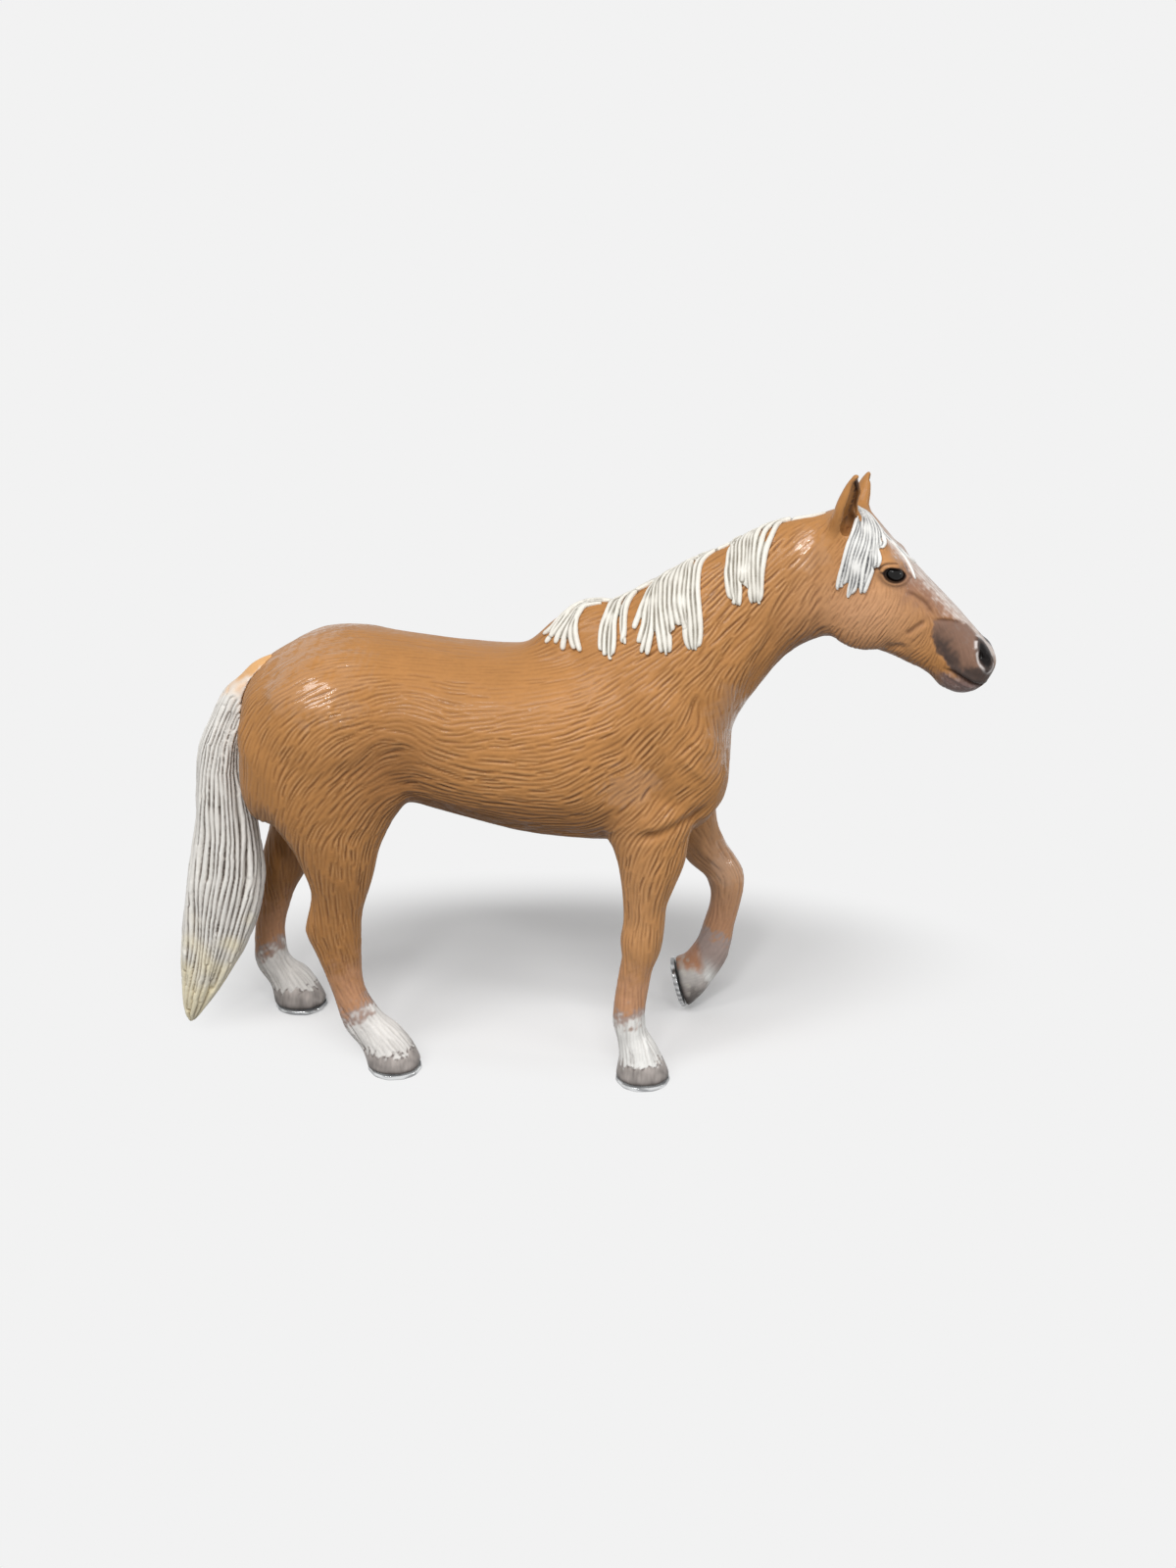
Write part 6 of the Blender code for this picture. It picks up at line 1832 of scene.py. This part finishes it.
class ColourCore(bpy.types.Operator):
    """Give the hidden core its plain plastic."""

    bl_idname = "toyhorse.colour_core"
    bl_label = "Colour core"

    def execute(self, context):
        build_core(context.scene.toy_horse_trim)
        return {'FINISHED'}


class SetStage(bpy.types.Operator):
    """Lay the floor, hang the lamps and place the camera."""

    bl_idname = "toyhorse.set_stage"
    bl_label = "Set stage"

    def execute(self, context):
        build_stage(context.scene.toy_horse_stage)
        return {'FINISHED'}


class ToyHorsePanel(bpy.types.Panel):
    """Settings and steps of the toy horse."""

    bl_idname = "VIEW3D_PT_toy_horse"
    bl_label = "Toy horse"
    bl_space_type = 'VIEW_3D'
    bl_region_type = 'UI'
    bl_category = "Toy horse"

    def draw(self, context):
        for group in GROUPS:
            box = self.layout.box()
            settings = getattr(context.scene, group)
            for name in settings.bl_rna.properties.keys():
                if name not in ("rna_type", "name"):
                    box.prop(settings, name)
        for step in STEPS:
            self.layout.operator(step.bl_idname)


GROUPS = {"toy_horse_coat": HorseCoatSettings, "toy_horse_hair": HorseHairSettings,
          "toy_horse_trim": HorseTrimSettings, "toy_horse_stage": HorseStageSettings}
STEPS = (CarveCoat, MouldMane, MouldForelock, MouldTail, SetEyes, FitPads, ColourCore, SetStage)


def register():
    for group, kind in GROUPS.items():
        bpy.utils.register_class(kind)
        setattr(bpy.types.Scene, group, PointerProperty(type=kind))
    for kind in (*STEPS, ToyHorsePanel):
        bpy.utils.register_class(kind)


def unregister():
    for kind in (ToyHorsePanel, *reversed(STEPS)):
        bpy.utils.unregister_class(kind)
    for group, kind in GROUPS.items():
        delattr(bpy.types.Scene, group)
        bpy.utils.unregister_class(kind)


def main():
    register()
    bpy.ops.toyhorse.carve_coat()
    bpy.ops.toyhorse.mould_mane()
    bpy.ops.toyhorse.mould_forelock()
    bpy.ops.toyhorse.mould_tail()
    bpy.ops.toyhorse.set_eyes()
    bpy.ops.toyhorse.fit_pads()
    bpy.ops.toyhorse.colour_core()
    bpy.ops.toyhorse.set_stage()


if __name__ == "__main__":
    main()
